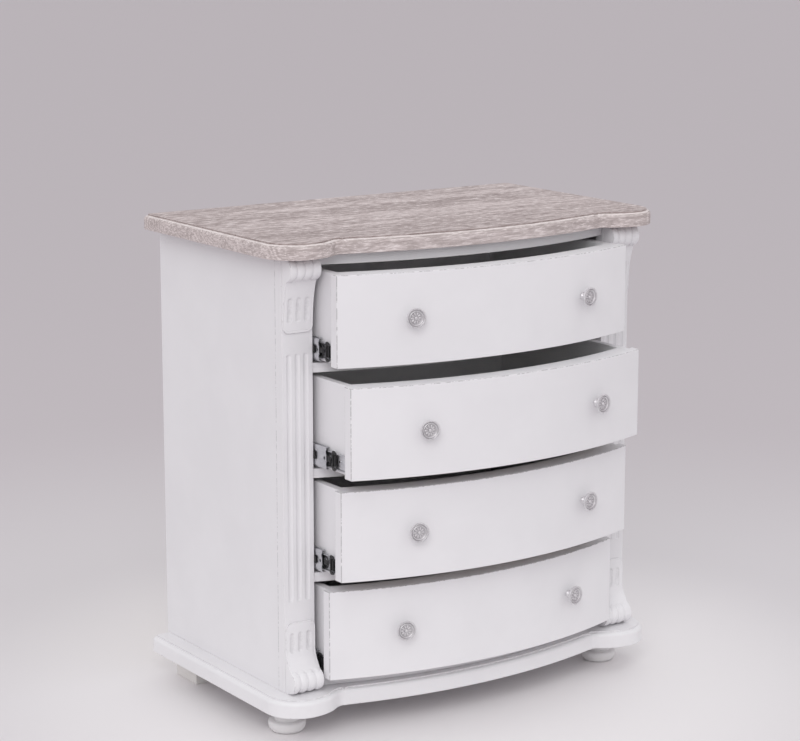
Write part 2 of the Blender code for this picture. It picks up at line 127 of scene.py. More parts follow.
def bow(half_width: float, centre: float, radius: float, steps: int) -> list[Point]:
    """Points from -X to +X along a circle about (0, centre), on its -Y side.

    Args:
        half_width: Half of the chord.
        centre: Y of the circle's middle.
        radius: Its radius.
        steps: Number of chords.

    Returns:
        The points in order.
    """
    turn = math.degrees(math.asin(half_width / radius))
    return arc((0, centre), radius, 270 - turn, 270 + turn, steps)


def smooth_through(points: Sequence[Point], at: float) -> float:
    """Value of a smooth curve through points (value, place) at a place, straight outside them.

    Args:
        points: Pairs of value and place, places rising.
        at: The place.

    Returns:
        The curve's value there.
    """
    places = [place for _, place in points]
    values = [value for value, _ in points]
    slopes = []
    for i in range(len(points)):
        before, after = max(i - 1, 0), min(i + 1, len(points) - 1)
        slopes.append((values[after] - values[before]) / (places[after] - places[before]))
    if at <= places[0]:
        return values[0] + slopes[0] * (at - places[0])
    if at >= places[-1]:
        return values[-1]
    i = max(n for n, place in enumerate(places) if place <= at)
    span = places[i + 1] - places[i]
    t = (at - places[i]) / span
    return (
        (2 * t**3 - 3 * t**2 + 1) * values[i]
        + (t**3 - 2 * t**2 + t) * span * slopes[i]
        + (3 * t**2 - 2 * t**3) * values[i + 1]
        + (t**3 - t**2) * span * slopes[i + 1]
    )


# Meshes


def new_mesh() -> Mesh:
    """An empty mesh with the attributes that the finishes read."""
    mesh = bmesh.new()
    mesh.loops.layers.float.new(WORN)
    mesh.loops.layers.float.new(HOLLOW)
    return mesh


def corners_of(items: Iterable) -> list:
    """The vertices among an operator's results."""
    return [item for item in items if isinstance(item, bmesh.types.BMVert)]


def raised(points: Sequence[Point], low: float, high: float, axis: str = "Z") -> Mesh:
    """A closed outline raised into a solid.

    Args:
        points: The outline, as (x, y) along Z or as (y, z) along X.
        low: Where it starts along the axis.
        high: Where it ends.
        axis: "Z" or "X".

    Returns:
        The solid, with its normals outwards.
    """
    mesh = new_mesh()
    if axis == "Z":
        corners = [mesh.verts.new((x, y, low)) for x, y in points]
        lift = Vector((0, 0, high - low))
    else:
        corners = [mesh.verts.new((low, y, z)) for y, z in points]
        lift = Vector((high - low, 0, 0))
    face = mesh.faces.new(corners)
    grown = bmesh.ops.extrude_face_region(mesh, geom=[face])["geom"]
    bmesh.ops.translate(mesh, verts=corners_of(grown), vec=lift)
    bmesh.ops.recalc_face_normals(mesh, faces=mesh.faces)
    return mesh


def block(low: Sequence[float], high: Sequence[float]) -> Mesh:
    """A block between its lowest and highest corners."""
    plan = [(low[0], low[1]), (high[0], low[1]), (high[0], high[1]), (low[0], high[1])]
    return raised(plan, low[2], high[2])


def turned(profile: Sequence[Point], steps: int) -> Mesh:
    """A solid turned about Z.

    Args:
        profile: Points (radius, height), the first and last on the axis.
        steps: Faces around it.

    Returns:
        The closed solid.
    """
    mesh = new_mesh()
    corners = [mesh.verts.new((radius, 0, height)) for radius, height in profile]
    edges = [mesh.edges.new(pair) for pair in zip(corners, corners[1:])]
    bmesh.ops.spin(
        mesh, geom=corners + edges, axis=(0, 0, 1), cent=(0, 0, 0), angle=math.tau, steps=steps,
        use_merge=True,
    )
    bmesh.ops.remove_doubles(mesh, verts=mesh.verts, dist=1e-6)
    bmesh.ops.recalc_face_normals(mesh, faces=mesh.faces)
    return mesh


def sharp_edges(mesh: Mesh, angle: float = 30.0) -> list:
    """Edges whose faces meet at more than an angle in degrees."""
    limit = math.radians(angle)
    return [e for e in mesh.edges if len(e.link_faces) == 2 and e.calc_face_angle() > limit]


def edges_at(mesh: Mesh, **places: float) -> list:
    """Edges with both ends at given places.

    Args:
        mesh: The mesh.
        **places: Place along each of the axes x, y and z that matter.

    Returns:
        The edges.
    """
    return [
        edge for edge in mesh.edges
        if all(
            abs(getattr(corner.co, axis) - place) < NEAR
            for corner in edge.verts for axis, place in places.items()
        )
    ]


def mark(mesh: Mesh, faces: Iterable, name: str, value: float) -> None:
    """Writes a value to an attribute all over some faces.

    Args:
        mesh: The mesh.
        faces: Its faces.
        name: Name of the attribute.
        value: The value.
    """
    layer = mesh.loops.layers.float[name]
    for face in faces:
        for loop in face.loops:
            loop[layer] = value


def ease(mesh: Mesh, edges: Iterable, width: float, steps: int = 3, wear: float = 0.0) -> list:
    """Rounds edges and marks how much their finish wears.

    Args:
        mesh: The mesh to work on.
        edges: The edges.
        width: Width of the rounding.
        steps: Faces across it.
        wear: Value written to the worn attribute there.

    Returns:
        The new faces.
    """
    made = bmesh.ops.bevel(
        mesh, geom=list(edges), offset=width, segments=steps, profile=0.5, affect="EDGES",
        material=-1,
    )["faces"]
    mark(mesh, made, WORN, wear)
    return made


def carved(
    outline: Sequence[Point],
    columns: Iterable[float],
    rows: Iterable[float],
    front: Callable[[float, float], float],
) -> Mesh:
    """A flat-backed panel whose front is cut into a grid and pushed to a carved surface.

    Args:
        outline: The panel's outline as (x, z).
        columns: X of the grid's upright cuts.
        rows: Z of its level cuts.
        front: Gives the front's Y at (x, z). The back is at Y = 0.

    Returns:
        The closed solid.
    """
    mesh = new_mesh()
    mesh.faces.new([mesh.verts.new((x, 0, z)) for x, z in outline])
    for normal, places in ((Vector((1, 0, 0)), columns), (Vector((0, 0, 1)), rows)):
        for place in places:
            geometry = mesh.verts[:] + mesh.edges[:] + mesh.faces[:]
            bmesh.ops.bisect_plane(
                mesh, geom=geometry, dist=1e-6, plane_co=normal * place, plane_no=normal
            )
    backs = mesh.faces[:]
    grown = bmesh.ops.extrude_face_region(mesh, geom=backs)["geom"]
    for vert in corners_of(grown):
        vert.co.y = front(vert.co.x, vert.co.z)
    bmesh.ops.dissolve_faces(mesh, faces=backs)
    bmesh.ops.recalc_face_normals(mesh, faces=mesh.faces)
    return mesh


def rim_edges(mesh: Mesh) -> list:
    """Edges where a carved front meets the panel's upright walls.

    Args:
        mesh: The carved panel.

    Returns:
        The edges.
    """
    back = 1e-7
    walls = {
        face for face in mesh.faces
        if any(v.co.y > -back for v in face.verts) and any(v.co.y < -back for v in face.verts)
    }
    return [
        edge for edge in mesh.edges
        if all(v.co.y < -back for v in edge.verts)
        and sum(face in walls for face in edge.link_faces) == 1
    ]


def folded(section: Sequence[Point], start: float, length: float, thickness: float) -> Mesh:
    """Sheet steel folded to a section and running along Y.

    Args:
        section: The sheet's face as (x, z).
        start: Y of its front end.
        length: Its length.
        thickness: Thickness of the sheet, grown to the right of the section.

    Returns:
        The closed solid.
    """
    mesh = new_mesh()
    corners = [mesh.verts.new((x, start, z)) for x, z in section]
    edges = [mesh.edges.new(pair) for pair in zip(corners, corners[1:])]
    grown = bmesh.ops.extrude_edge_only(mesh, edges=edges)["geom"]
    bmesh.ops.translate(mesh, verts=corners_of(grown), vec=(0, length, 0))
    bmesh.ops.solidify(mesh, geom=mesh.faces[:], thickness=thickness)
    bmesh.ops.recalc_face_normals(mesh, faces=mesh.faces)
    return mesh


def moved(mesh: Mesh, shift: Sequence[float]) -> Mesh:
    """The same mesh after a shift."""
    bmesh.ops.translate(mesh, verts=mesh.verts, vec=shift)
    return mesh


def rotated(mesh: Mesh, angle: float, axis: str) -> Mesh:
    """The same mesh after a turn about an axis through the origin."""
    bmesh.ops.rotate(mesh, verts=mesh.verts, matrix=Matrix.Rotation(angle, 3, axis))
    return mesh


def middle_of(node: str) -> Vector:
    """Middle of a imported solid's box."""
    return sum(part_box(node), Vector()) / 2


def copied(mesh: Mesh, shift: Sequence[float]) -> Mesh:
    """A copy of a mesh, moved by a shift."""
    return moved(mesh.copy(), shift)


def baked(mesh: Mesh, name: str) -> bpy.types.Mesh:
    """Turns a mesh into mesh data and frees it.

    Args:
        mesh: The mesh.
        name: Name of the data.

    Returns:
        The data.
    """
    data = bpy.data.meshes.new(name)
    mesh.to_mesh(data)
    mesh.free()
    return data


def placed(name: str, data: bpy.types.ID) -> bpy.types.Object:
    """Sets a new object in the scene.

    Args:
        name: Its name.
        data: What it holds.

    Returns:
        The object.
    """
    made = bpy.data.objects.new(name, data)
    bpy.context.scene.collection.objects.link(made)
    return made


def joined(*parts: Mesh) -> Mesh:
    """Joins meshes and frees them.

    Args:
        *parts: The meshes.

    Returns:
        The whole.
    """
    whole = new_mesh()
    for part in parts:
        data = baked(part, "part")
        whole.from_mesh(data)
        bpy.data.meshes.remove(data)
    return whole


def cut_away(mesh: Mesh, tools: Sequence[Mesh]) -> Mesh:
    """A mesh with the shapes of some tools cut out of it, all of them freed.

    Args:
        mesh: What is cut.
        tools: Closed cutters.

    Returns:
        The cut mesh.
    """
    holders = [placed("cut", baked(part, "cut")) for part in (mesh, joined(*tools))]
    step = holders[0].modifiers.new("cut", "BOOLEAN")
    step.operation = "DIFFERENCE"
    step.solver = "EXACT"
    step.object = holders[1]
    bpy.context.view_layer.update()
    finished = holders[0].evaluated_get(bpy.context.evaluated_depsgraph_get())
    result = bpy.data.meshes.new_from_object(finished)
    made = new_mesh()
    made.from_mesh(result)
    for data in (holders[0].data, holders[1].data, result):
        bpy.data.meshes.remove(data)
    return made


def deliver(
    name: str,
    mesh: Mesh,
    finishes: Sequence[Material],
    body: str,
    slot: Slot,
    replaces: Sequence[str] = (),
    crease: float = 50.0,
    flat_sides: bool = True,
) -> bpy.types.Object:
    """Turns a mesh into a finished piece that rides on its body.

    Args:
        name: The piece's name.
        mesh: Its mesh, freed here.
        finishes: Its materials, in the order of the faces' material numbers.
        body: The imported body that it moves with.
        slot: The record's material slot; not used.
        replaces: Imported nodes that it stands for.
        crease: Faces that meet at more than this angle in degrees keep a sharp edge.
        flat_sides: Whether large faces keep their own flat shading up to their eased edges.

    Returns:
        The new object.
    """
    data = baked(mesh, name)
    for finish in finishes:
        data.materials.append(finish)
    data.shade_smooth()
    data.set_sharp_from_angle(angle=math.radians(crease))
    made = placed(name, data)
    if flat_sides:
        made.modifiers.new("flat sides", "WEIGHTED_NORMAL").keep_sharp = True
    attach(made, body)
    if replaces:
        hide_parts(*replaces)
    log.info("%s rides on %s, %d faces", name, body, len(data.polygons))
    return made


# Finishes


class Nodes:
    """Shorthand for wiring one node tree."""

    def __init__(self, tree: bpy.types.NodeTree) -> None:
        """Starts on a tree."""
        self.tree = tree

    def add(self, kind: str, **settings: object) -> bpy.types.Node:
        """Adds a node, sets its properties, and sets or links the inputs given by number.

        Args:
            kind: Blender's name of the node type.
            **settings: Properties, and inputs as i0, i1 and so on.

        Returns:
            The node.
        """
        node = self.tree.nodes.new(kind)
        wires = {}
        for key, value in settings.items():
            if key[0] == "i" and key[1:].isdigit():
                wires[int(key[1:])] = value
            else:
                setattr(node, key, value)
        for number, value in wires.items():
            if isinstance(value, Socket):
                self.tree.links.new(value, node.inputs[number])
            else:
                node.inputs[number].default_value = value
        return node

    def math(self, operation: str, first: object, second: object = 0.0) -> Socket:
        """Result of a Math node on two values."""
        return self.add("ShaderNodeMath", operation=operation, i0=first, i1=second).outputs[0]

    def plus(self, first: object, second: object) -> Socket:
        """Sum of two values."""
        return self.math("ADD", first, second)

    def times(self, first: object, second: object) -> Socket:
        """Product of two values."""
        return self.math("MULTIPLY", first, second)

    def ramp(self, value: object, low: float, high: float) -> Socket:
        """A smooth step from 0 at low to 1 at high."""
        kind = "ShaderNodeMapRange"
        return self.add(kind, interpolation_type="SMOOTHSTEP", i0=value, i1=low, i2=high).outputs[0]

    def mix(self, share: object, first: object, second: object) -> Socket:
        """A colour between two, by share."""
        return self.add("ShaderNodeMix", data_type="RGBA", i0=share, i6=first, i7=second).outputs[2]

    def noise(
        self, place: Socket, scale: object, detail: float = 3.0, rough: float = 0.5
    ) -> Socket:
        """A noise value about 0.5 at a place."""
        return self.add("ShaderNodeTexNoise", i0=place, i2=scale, i3=detail, i4=rough).outputs[0]

    def place(self) -> Socket:
        """Object coordinates."""
        return self.add("ShaderNodeTexCoord").outputs["Object"]

    def stretched(self, scale: Sequence[float]) -> Socket:
        """Object coordinates scaled by axis."""
        return self.add("ShaderNodeMapping", i0=self.place(), i3=scale).outputs[0]

    def marked(self, name: str) -> Socket:
        """The value of a mesh attribute."""
        return self.add("ShaderNodeAttribute", attribute_name=name).outputs["Fac"]

    def shared(self, make: Callable[[], bpy.types.NodeTree], *values: float) -> bpy.types.Node:
        """A node of a shared group, which is made the first time.

        Args:
            make: Makes the group. The group has this function's name.
            *values: Values of the group's inputs.

        Returns:
            The node.
        """
        group = bpy.data.node_groups.get(make.__name__) or make()
        inputs = {f"i{number}": value for number, value in enumerate(values)}
        return self.add("ShaderNodeGroup", node_tree=group, **inputs)


def group_of(name: str, inputs: dict[str, float], outputs: Sequence[str]) -> tuple:
    """A new shader node group of plain values.

    Args:
        name: Its name.
        inputs: Default of each input, by name.
        outputs: Names of its outputs.

    Returns:
        Its wiring helper and its inputs' sockets.
    """
    group = bpy.data.node_groups.new(name, "ShaderNodeTree")
    for title, value in inputs.items():
        socket = group.interface.new_socket(title, in_out="INPUT", socket_type="NodeSocketFloat")
        socket.default_value = value
    for title in outputs:
        group.interface.new_socket(title, in_out="OUTPUT", socket_type="NodeSocketFloat")
    nodes = Nodes(group)
    return nodes, nodes.add("NodeGroupInput").outputs


def mottle() -> bpy.types.NodeTree:
    """Soft uneven patches of a coat: a value about 1 and a fine height for its bump.

    Returns:
        The group, with the inputs Patches, Strength and Grain.
    """
    nodes, given = group_of(
        "mottle", {"Patches": 8.0, "Strength": 0.03, "Grain": 600.0}, ("Value", "Height")
    )
    place = nodes.place()
    centred = nodes.math("SUBTRACT", nodes.noise(place, given["Patches"], 4.0, 0.6), 0.5)
    value = nodes.plus(nodes.times(centred, given["Strength"]), 1.0)
    nodes.add("NodeGroupOutput", i0=value, i1=nodes.noise(place, given["Grain"], 2.0))
    return nodes.tree


def edge_wear() -> bpy.types.NodeTree:
    """Mask of the places where an edge is rubbed through, broken up along its length.

    Returns:
        The group, with the inputs Amount and Length.
    """
    nodes, given = group_of("edge_wear", {"Amount": 0.5, "Length": 90.0}, ("Mask",))
    marked = nodes.marked(WORN)
    broken = nodes.noise(nodes.place(), given["Length"], 3.0, 0.7)
    level = nodes.plus(broken, nodes.times(given["Amount"], marked))
    mask = nodes.times(nodes.ramp(level, 0.82, 0.98), nodes.ramp(marked, 0.0, 0.2))
    nodes.add("NodeGroupOutput", i0=mask)
    return nodes.tree


def limed_grain() -> bpy.types.NodeTree:
    """Limed oak with its grain along X: tone from dark to light, lime, pores, and a height.

    Returns:
        The group, with the inputs Figure and Fleck.
    """
    nodes, given = group_of(
        "limed_grain", {"Figure": 1.0, "Fleck": 1.0}, ("Tone", "Lime", "Pore", "Height")
    )
    wander = nodes.noise(nodes.stretched((1.2, 7.0, 9.0)), 1.3, 2.0)
    rings = nodes.times(nodes.math("SINE", nodes.times(wander, 140.0)), 0.04)
    rings = nodes.times(rings, given["Figure"])
    bands = nodes.noise(nodes.stretched((0.8, 22.0, 22.0)), 1.0)
    streaks = nodes.noise(nodes.stretched((14.0, 105.0, 420.0)), 1.0, 4.0, 0.65)
    tone = nodes.plus(nodes.plus(nodes.times(bands, 0.4), nodes.times(streaks, 0.6)), rings)
    flecks = nodes.noise(nodes.stretched((55.0, 190.0, 600.0)), 1.0, 3.0, 0.7)
    level = nodes.plus(flecks, nodes.times(rings, 0.6))
    lime = nodes.times(nodes.ramp(level, 0.53, 0.63), given["Fleck"])
    pore = nodes.times(nodes.ramp(level, 0.46, 0.37), given["Fleck"])
    height = nodes.math("SUBTRACT", nodes.times(streaks, 0.5), pore)
    nodes.add("NodeGroupOutput", i0=tone, i1=lime, i2=pore, i3=height)
    return nodes.tree


class Sheet(Nodes):
    """A new Principled material and the wiring of its nodes."""

    def __init__(self, name: str, roughness: float, metallic: float = 0.0) -> None:
        """Starts the material.

        Args:
            name: Its name.
            roughness: Roughness of the whole surface.
            metallic: Metallic value of the whole surface.
        """
        self.made = bpy.data.materials.new(name)
        self.made.use_nodes = True
        super().__init__(self.made.node_tree)
        self.shader = self.tree.nodes["Principled BSDF"]
        self.shader.inputs["Roughness"].default_value = roughness
        self.shader.inputs["Metallic"].default_value = metallic

    def wire(self, value: Socket, title: str) -> None:
        """Links a value to one of the shader's inputs."""
        self.tree.links.new(value, self.shader.inputs[title])

    def bump(self, height: Socket, distance: float, strength: float) -> None:
        """Wires a height into the shader's normal.

        Args:
            height: The height, about 0 to 1.
            distance: What a height of 1 stands for, in metres.
            strength: Strength of the bump.
        """
        node = self.add("ShaderNodeBump")
        node.inputs["Strength"].default_value = strength
        node.inputs["Distance"].default_value = distance
        self.tree.links.new(height, node.inputs["Height"])
        self.wire(node.outputs[0], "Normal")


@dataclass(frozen=True)
class Paint:
    """A brushed coat of paint that wears through along its edges, with painted shade in marked
    hollows.
    """

    name: str
    colour: Colour
    shade: Colour
    under: Colour
    roughness: float = 0.42
    wear: float = 0.46
    length: float = 130.0

    def material(self) -> Material:
        """Makes the material.

        Returns:
            The new material.
        """
        sheet = Sheet(self.name, self.roughness)
        coat = sheet.shared(mottle, 6.0, 1.4, 420.0)
        base = sheet.mix(sheet.ramp(coat.outputs["Value"], 0.75, 1.25), self.shade, self.colour)
        rubbed = sheet.shared(edge_wear, self.wear, self.length).outputs["Mask"]
        shade_breakup = sheet.ramp(sheet.noise(sheet.place(), self.length, 3.0, 0.7), 0.3, 0.65)
        colour = sheet.mix(rubbed, base, self.under)
        # Painted shade: marked hollows take the undercoat's grey, broken up by noise.
        colour = sheet.mix(sheet.times(sheet.marked(HOLLOW), shade_breakup), colour, self.under)
        sheet.wire(colour, "Base Color")
        sheet.bump(coat.outputs["Height"], 0.00008, 0.35)
        return sheet.made


@dataclass(frozen=True)
class Oak:
    """Open-grained oak with lime rubbed into its pores, and painted shade in marked hollows."""

    name: str
    dark: Colour
    light: Colour
    lime: Colour
    pore: Colour
    roughness: float = 0.55

    def material(self) -> Material:
        """Makes the material.

        Returns:
            The new material.
        """
        sheet = Sheet(self.name, self.roughness)
        grain = sheet.shared(limed_grain).outputs
        colour = sheet.mix(sheet.ramp(grain["Tone"], 0.37, 0.62), self.dark, self.light)
        for share, strength, other in (
            (grain["Pore"], 0.75, self.pore),
            (grain["Lime"], 0.75, self.lime),
            (sheet.marked(WORN), 0.75, self.lime),
            (sheet.shared(edge_wear, 0.55, 60.0).outputs["Mask"], 0.7, self.lime),
            # painted shade: marked hollows take the pores' dark colour
            (sheet.marked(HOLLOW), 0.6, self.pore),
        ):
            colour = sheet.mix(sheet.times(share, strength), colour, other)
        sheet.wire(colour, "Base Color")
        sheet.bump(grain["Height"], 0.0003, 0.4)
        return sheet.made


@dataclass(frozen=True)
class Plain:
    """A matt coat or bare board with soft patches and a fine grain."""

    name: str
    colour: Colour
    shade: Colour
    roughness: float
    patches: float
    grain: float
    stretch: Stretch = (1.0, 1.0, 1.0)

    def material(self) -> Material:
        """Makes the material.

        Returns:
            The new material.
        """
        sheet = Sheet(self.name, self.roughness)
        place = sheet.stretched(self.stretch)
        fibres = sheet.noise(place, self.grain, 3.0, 0.6)
        share = sheet.plus(
            sheet.times(sheet.noise(place, self.patches, 4.0, 0.6), 0.6), sheet.times(fibres, 0.4)
        )
        sheet.wire(sheet.mix(sheet.ramp(share, 0.3, 0.7), self.shade, self.colour), "Base Color")
        sheet.bump(fibres, 0.00015, 0.3)
        return sheet.made


@dataclass(frozen=True)
class Metal:
    """Plated or cast metal with random tarnish, and painted shade in its hollows."""

    name: str
    colour: Colour
    tarnish: Colour
    roughness: float
    spread: float
    scale: float
    stretch: Stretch = (1.0, 1.0, 1.0)

    def material(self) -> Material:
        """Makes the material.

        Returns:
            The new material.
        """
        sheet = Sheet(self.name, self.roughness, 1.0)
        blotches = sheet.noise(sheet.stretched(self.stretch), self.scale, 4.0, 0.65)
        # painted shade: marked hollows take the tarnish colour, as do random blotches of real
        # tarnish
        hollow = sheet.marked(HOLLOW)
        tarnish_and_shade_share = sheet.math("MAXIMUM", hollow, sheet.times(sheet.ramp(blotches, 0.4, 0.75), 0.35))
        sheet.wire(sheet.mix(tarnish_and_shade_share, self.colour, self.tarnish), "Base Color")
        rough = sheet.plus(sheet.times(blotches, self.spread), self.roughness)
        sheet.wire(sheet.plus(rough, sheet.times(hollow, 0.2)), "Roughness")
        sheet.bump(blotches, 0.0001, 0.25)
        return sheet.made


@dataclass(frozen=True)
class Finishes:
    """Every material of the chest, each made once."""

    paint: Material
    foot_paint: Material
    oak: Material
    board: Material
    foot_block: Material
    runner: Material
    lining: Material
    pewter: Material
    steel: Material
    black: Material


def make_finishes() -> Finishes:
    """Makes the materials.

    Returns:
        All finishes.
    """
    return Finishes(
        paint=Paint(
            "white paint", (0.80, 0.785, 0.805, 1), (0.775, 0.76, 0.78, 1), (0.46, 0.45, 0.46, 1)
        ).material(),
        foot_paint=Paint(
            "foot paint", (0.77, 0.755, 0.76, 1), (0.71, 0.695, 0.70, 1), (0.46, 0.44, 0.43, 1),
            wear=0.2,
        ).material(),
        oak=Oak(
            "limed oak", (0.33, 0.268, 0.258, 1), (0.60, 0.515, 0.505, 1), (0.80, 0.73, 0.72, 1),
            (0.24, 0.185, 0.175, 1),
        ).material(),
        board=Plain(
            "hardboard", (0.62, 0.57, 0.50, 1), (0.52, 0.46, 0.39, 1), 0.75, 18.0, 900.0
        ).material(),
        foot_block=Plain(
            "cream block", (0.77, 0.745, 0.73, 1), (0.71, 0.685, 0.665, 1), 0.6, 20.0, 300.0,
            (6.0, 1.0, 6.0),
        ).material(),
        runner=Plain(
            "runner wood", (0.66, 0.62, 0.58, 1), (0.58, 0.53, 0.48, 1), 0.6, 10.0, 300.0,
            (8.0, 1.0, 8.0),
        ).material(),
        lining=Plain(
            "white lining", (0.88, 0.875, 0.89, 1), (0.85, 0.845, 0.86, 1), 0.7, 12.0, 700.0
        ).material(),
        pewter=Metal(
            "antique pewter", (0.86, 0.86, 0.87, 1), (0.42, 0.42, 0.43, 1), 0.38, 0.2, 420.0
        ).material(),
        steel=Metal(
            "zinc plate", (0.70, 0.71, 0.73, 1), (0.45, 0.46, 0.48, 1), 0.26, 0.16, 40.0,
            (6.0, 1.0, 6.0),
        ).material(),
        black=Plain(
            "black plastic", (0.014, 0.014, 0.015, 1), (0.010, 0.010, 0.011, 1), 0.42, 60.0, 900.0
        ).material(),
    )


# Sub-assemblies


@dataclass
class Case:
    """Places that the other classes share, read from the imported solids."""

    face: float = field(init=False)
    half: float = field(init=False)
    depth: float = field(init=False)
    base_top: float = field(init=False)
    top: float = field(init=False)
    post_width: float = field(init=False)

    def __post_init__(self) -> None:
        """Reads the places."""
        post_low, post_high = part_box("front_post_right")
        self.face = post_low.y
        self.half = post_high.x
        self.post_width = post_high.x - post_low.x
        self.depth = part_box("side_panel_right")[1].y - self.face
        self.base_top = post_low.z - SEAT
        self.top = post_high.z + SEAT

    @property
    def opening(self) -> float:
        """Half of the clear width between the posts."""
        return self.half - self.post_width


@dataclass
class MouldedBoard:
    """A top or base board: round ears over the posts, a bow between, and a moulded upper edge."""

    name: str
    node: str
    case: Case
    slot: Slot
    bow: float = 0.044
    bow_start: float = 0.034
    bow_end_inset: float = 0.034
    ear_reach: float = 0.062
    ear_radius: float = 0.066
    shoulder_radius: float = 0.100
    shoulder_width: float = 0.048
    back_corner: float = 0.012
    scoop: float = 0.010
    mould: float = 0.008
    quirk: float = 0.003
    under_ease: float = 0.0018
    lip_ease: float = 0.0006
    step_shade: float = 0.9
    shoulder_wear: float = 0.75
    sanding: float = 0.3

    @property
    def bow_half(self) -> float:
        """Half of the bow's chord."""
        return self.case.opening - self.bow_end_inset

    def outline(self) -> list[Point]:
        """The board's plan, with Y from the post face.

        Returns:
            The outline's points.
        """
        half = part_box(self.node)[1].x
        ear_x = half - self.ear_radius
        ear = arc((-ear_x, self.ear_radius - self.ear_reach), self.ear_radius, 180, 270, 24)
        turn = math.degrees(math.asin(self.shoulder_width / self.shoulder_radius))
        centre = (-ear_x, self.shoulder_radius - self.ear_reach)
        ear += arc(centre, self.shoulder_radius, 270, 270 + turn, 10)[1:]
        radius = (self.bow_half**2 + self.bow**2) / (2 * self.bow)
        middle = bow(self.bow_half, radius - self.bow - self.bow_start, radius, 72)
        inset = self.back_corner
        corner = arc((half - inset, self.case.depth - inset), inset, 0, 90, 8)
        return ear + middle + mirrored(ear) + corner + mirrored(corner)

    def build(self, finish: Material) -> None:
        """Builds the board.

        Args:
            finish: Its material.
        """
        low, high = (corner.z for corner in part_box(self.node))
        step = high - self.quirk
        mesh = raised([(x, y + self.case.face) for x, y in self.outline()], low, step)
        inner = [
            edge for edge in mesh.edges
            if abs(edge.verts[0].co.z - edge.verts[1].co.z) > 1e-3
            and abs(abs(edge.verts[0].co.x) - self.bow_half) < NEAR
            and edge.verts[0].co.y < self.case.face
        ]
        ease(mesh, inner, self.scoop, 8)
        bmesh.ops.recalc_face_normals(mesh, faces=mesh.faces)
        ease(mesh, self.rim(mesh, step), self.mould, 7, 0.25)
        ease(mesh, self.rim(mesh, low), self.under_ease, 3, 0.5)
        top = max(mesh.faces, key=lambda face: face.calc_center_median().z)
        grown = bmesh.ops.extrude_discrete_faces(mesh, faces=[top])["faces"]
        bmesh.ops.translate(mesh, verts=grown[0].verts, vec=(0, 0, self.quirk))
        bmesh.ops.recalc_face_normals(mesh, faces=mesh.faces)
        ease(mesh, self.rim(mesh, high), self.lip_ease, 2, 0.3)
        self.mark_edges(mesh, step)
        deliver(self.name, mesh, [finish], "cabinet", self.slot, [self.node])

    def mark_edges(self, mesh: Mesh, step: float) -> None:
        """Marks the sanded edge, the moulding's bright worn shoulder, and painted shade on the step
        above it.

        Args:
            mesh: The board.
            step: Height where the step starts.
        """
        worn, hollow = mesh.loops.layers.float[WORN], mesh.loops.layers.float[HOLLOW]
        for face in mesh.faces:
            height = face.calc_center_median().z
            upright = abs(face.normal.z) < 0.5
            for loop in face.loops:
                # the step's upright faces take painted shade
                if height > step + 1e-4:
                    loop[hollow] = self.step_shade if upright else 0.0
                elif height > step - self.mould / 4:
                    loop[worn] = self.shoulder_wear
                elif upright:
                    loop[worn] = max(loop[worn], self.sanding)

    @staticmethod
    def rim(mesh: Mesh, height: float) -> list:
        """Edges at a height where a level face meets an upright one.

        Args:
            mesh: The board.
            height: The height.

        Returns:
            The edges.
        """
        level = edges_at(mesh, z=height)
        return [e for e in level if any(abs(face.normal.z) < 0.2 for face in e.link_faces)]


@dataclass
class SidePanel:
    """A rebated side panel and the four wooden runners that carry the slides."""

    side: Side
    case: Case
    thickness: float = 0.018
    rebate: float = 0.009
    back_thickness: float = 0.0055
    runner_height: float = 0.060
    runner_gap: float = 0.004
    runner_ease: float = 0.0012
    lip_ease: float = 0.0010
    lip_wear: float = 0.9

    def build(self, finish: Material, runner_finish: Material) -> None:
        """Builds the panel and its runners.

        Args:
            finish: Paint of the panel.
            runner_finish: Wood of the runners.
        """
        node = f"side_panel_{self.side.word}"
        low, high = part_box(node)
        sign = self.side.value
        outer = sign * self.case.half
        inner = outer - sign * self.thickness
        step = outer - sign * self.rebate
        rear = high.y - self.back_thickness - SEAT
        plan = [
            (outer, low.y), (outer, high.y), (step, high.y), (step, rear), (inner, rear),
            (inner, low.y),
        ]
        mesh = raised(plan, low.z, high.z)
        lips = edges_at(mesh, x=outer, y=low.y) + edges_at(mesh, x=outer, y=high.y)
        ease(mesh, lips, self.lip_ease, 2, self.lip_wear)
        deliver(node + "_board", mesh, [finish], "cabinet", Slot.PAINT, [node])
        rails = []
        near, far = sorted((sign * self.case.opening, inner - sign * SEAT))
        for number in range(1, DRAWERS + 1):
            middle = middle_of(f"slide_case_member_{number}_{self.side.word}").z
            rail = block(
                (near, low.y, middle - self.runner_height / 2),
                (far, rear - self.runner_gap, middle + self.runner_height / 2),
            )
            ease(rail, sharp_edges(rail), self.runner_ease, 2)
            rails.append(rail)
        name = f"runners_{self.side.word}"
        deliver(name, joined(*rails), [runner_finish], "cabinet", Slot.PAINT)


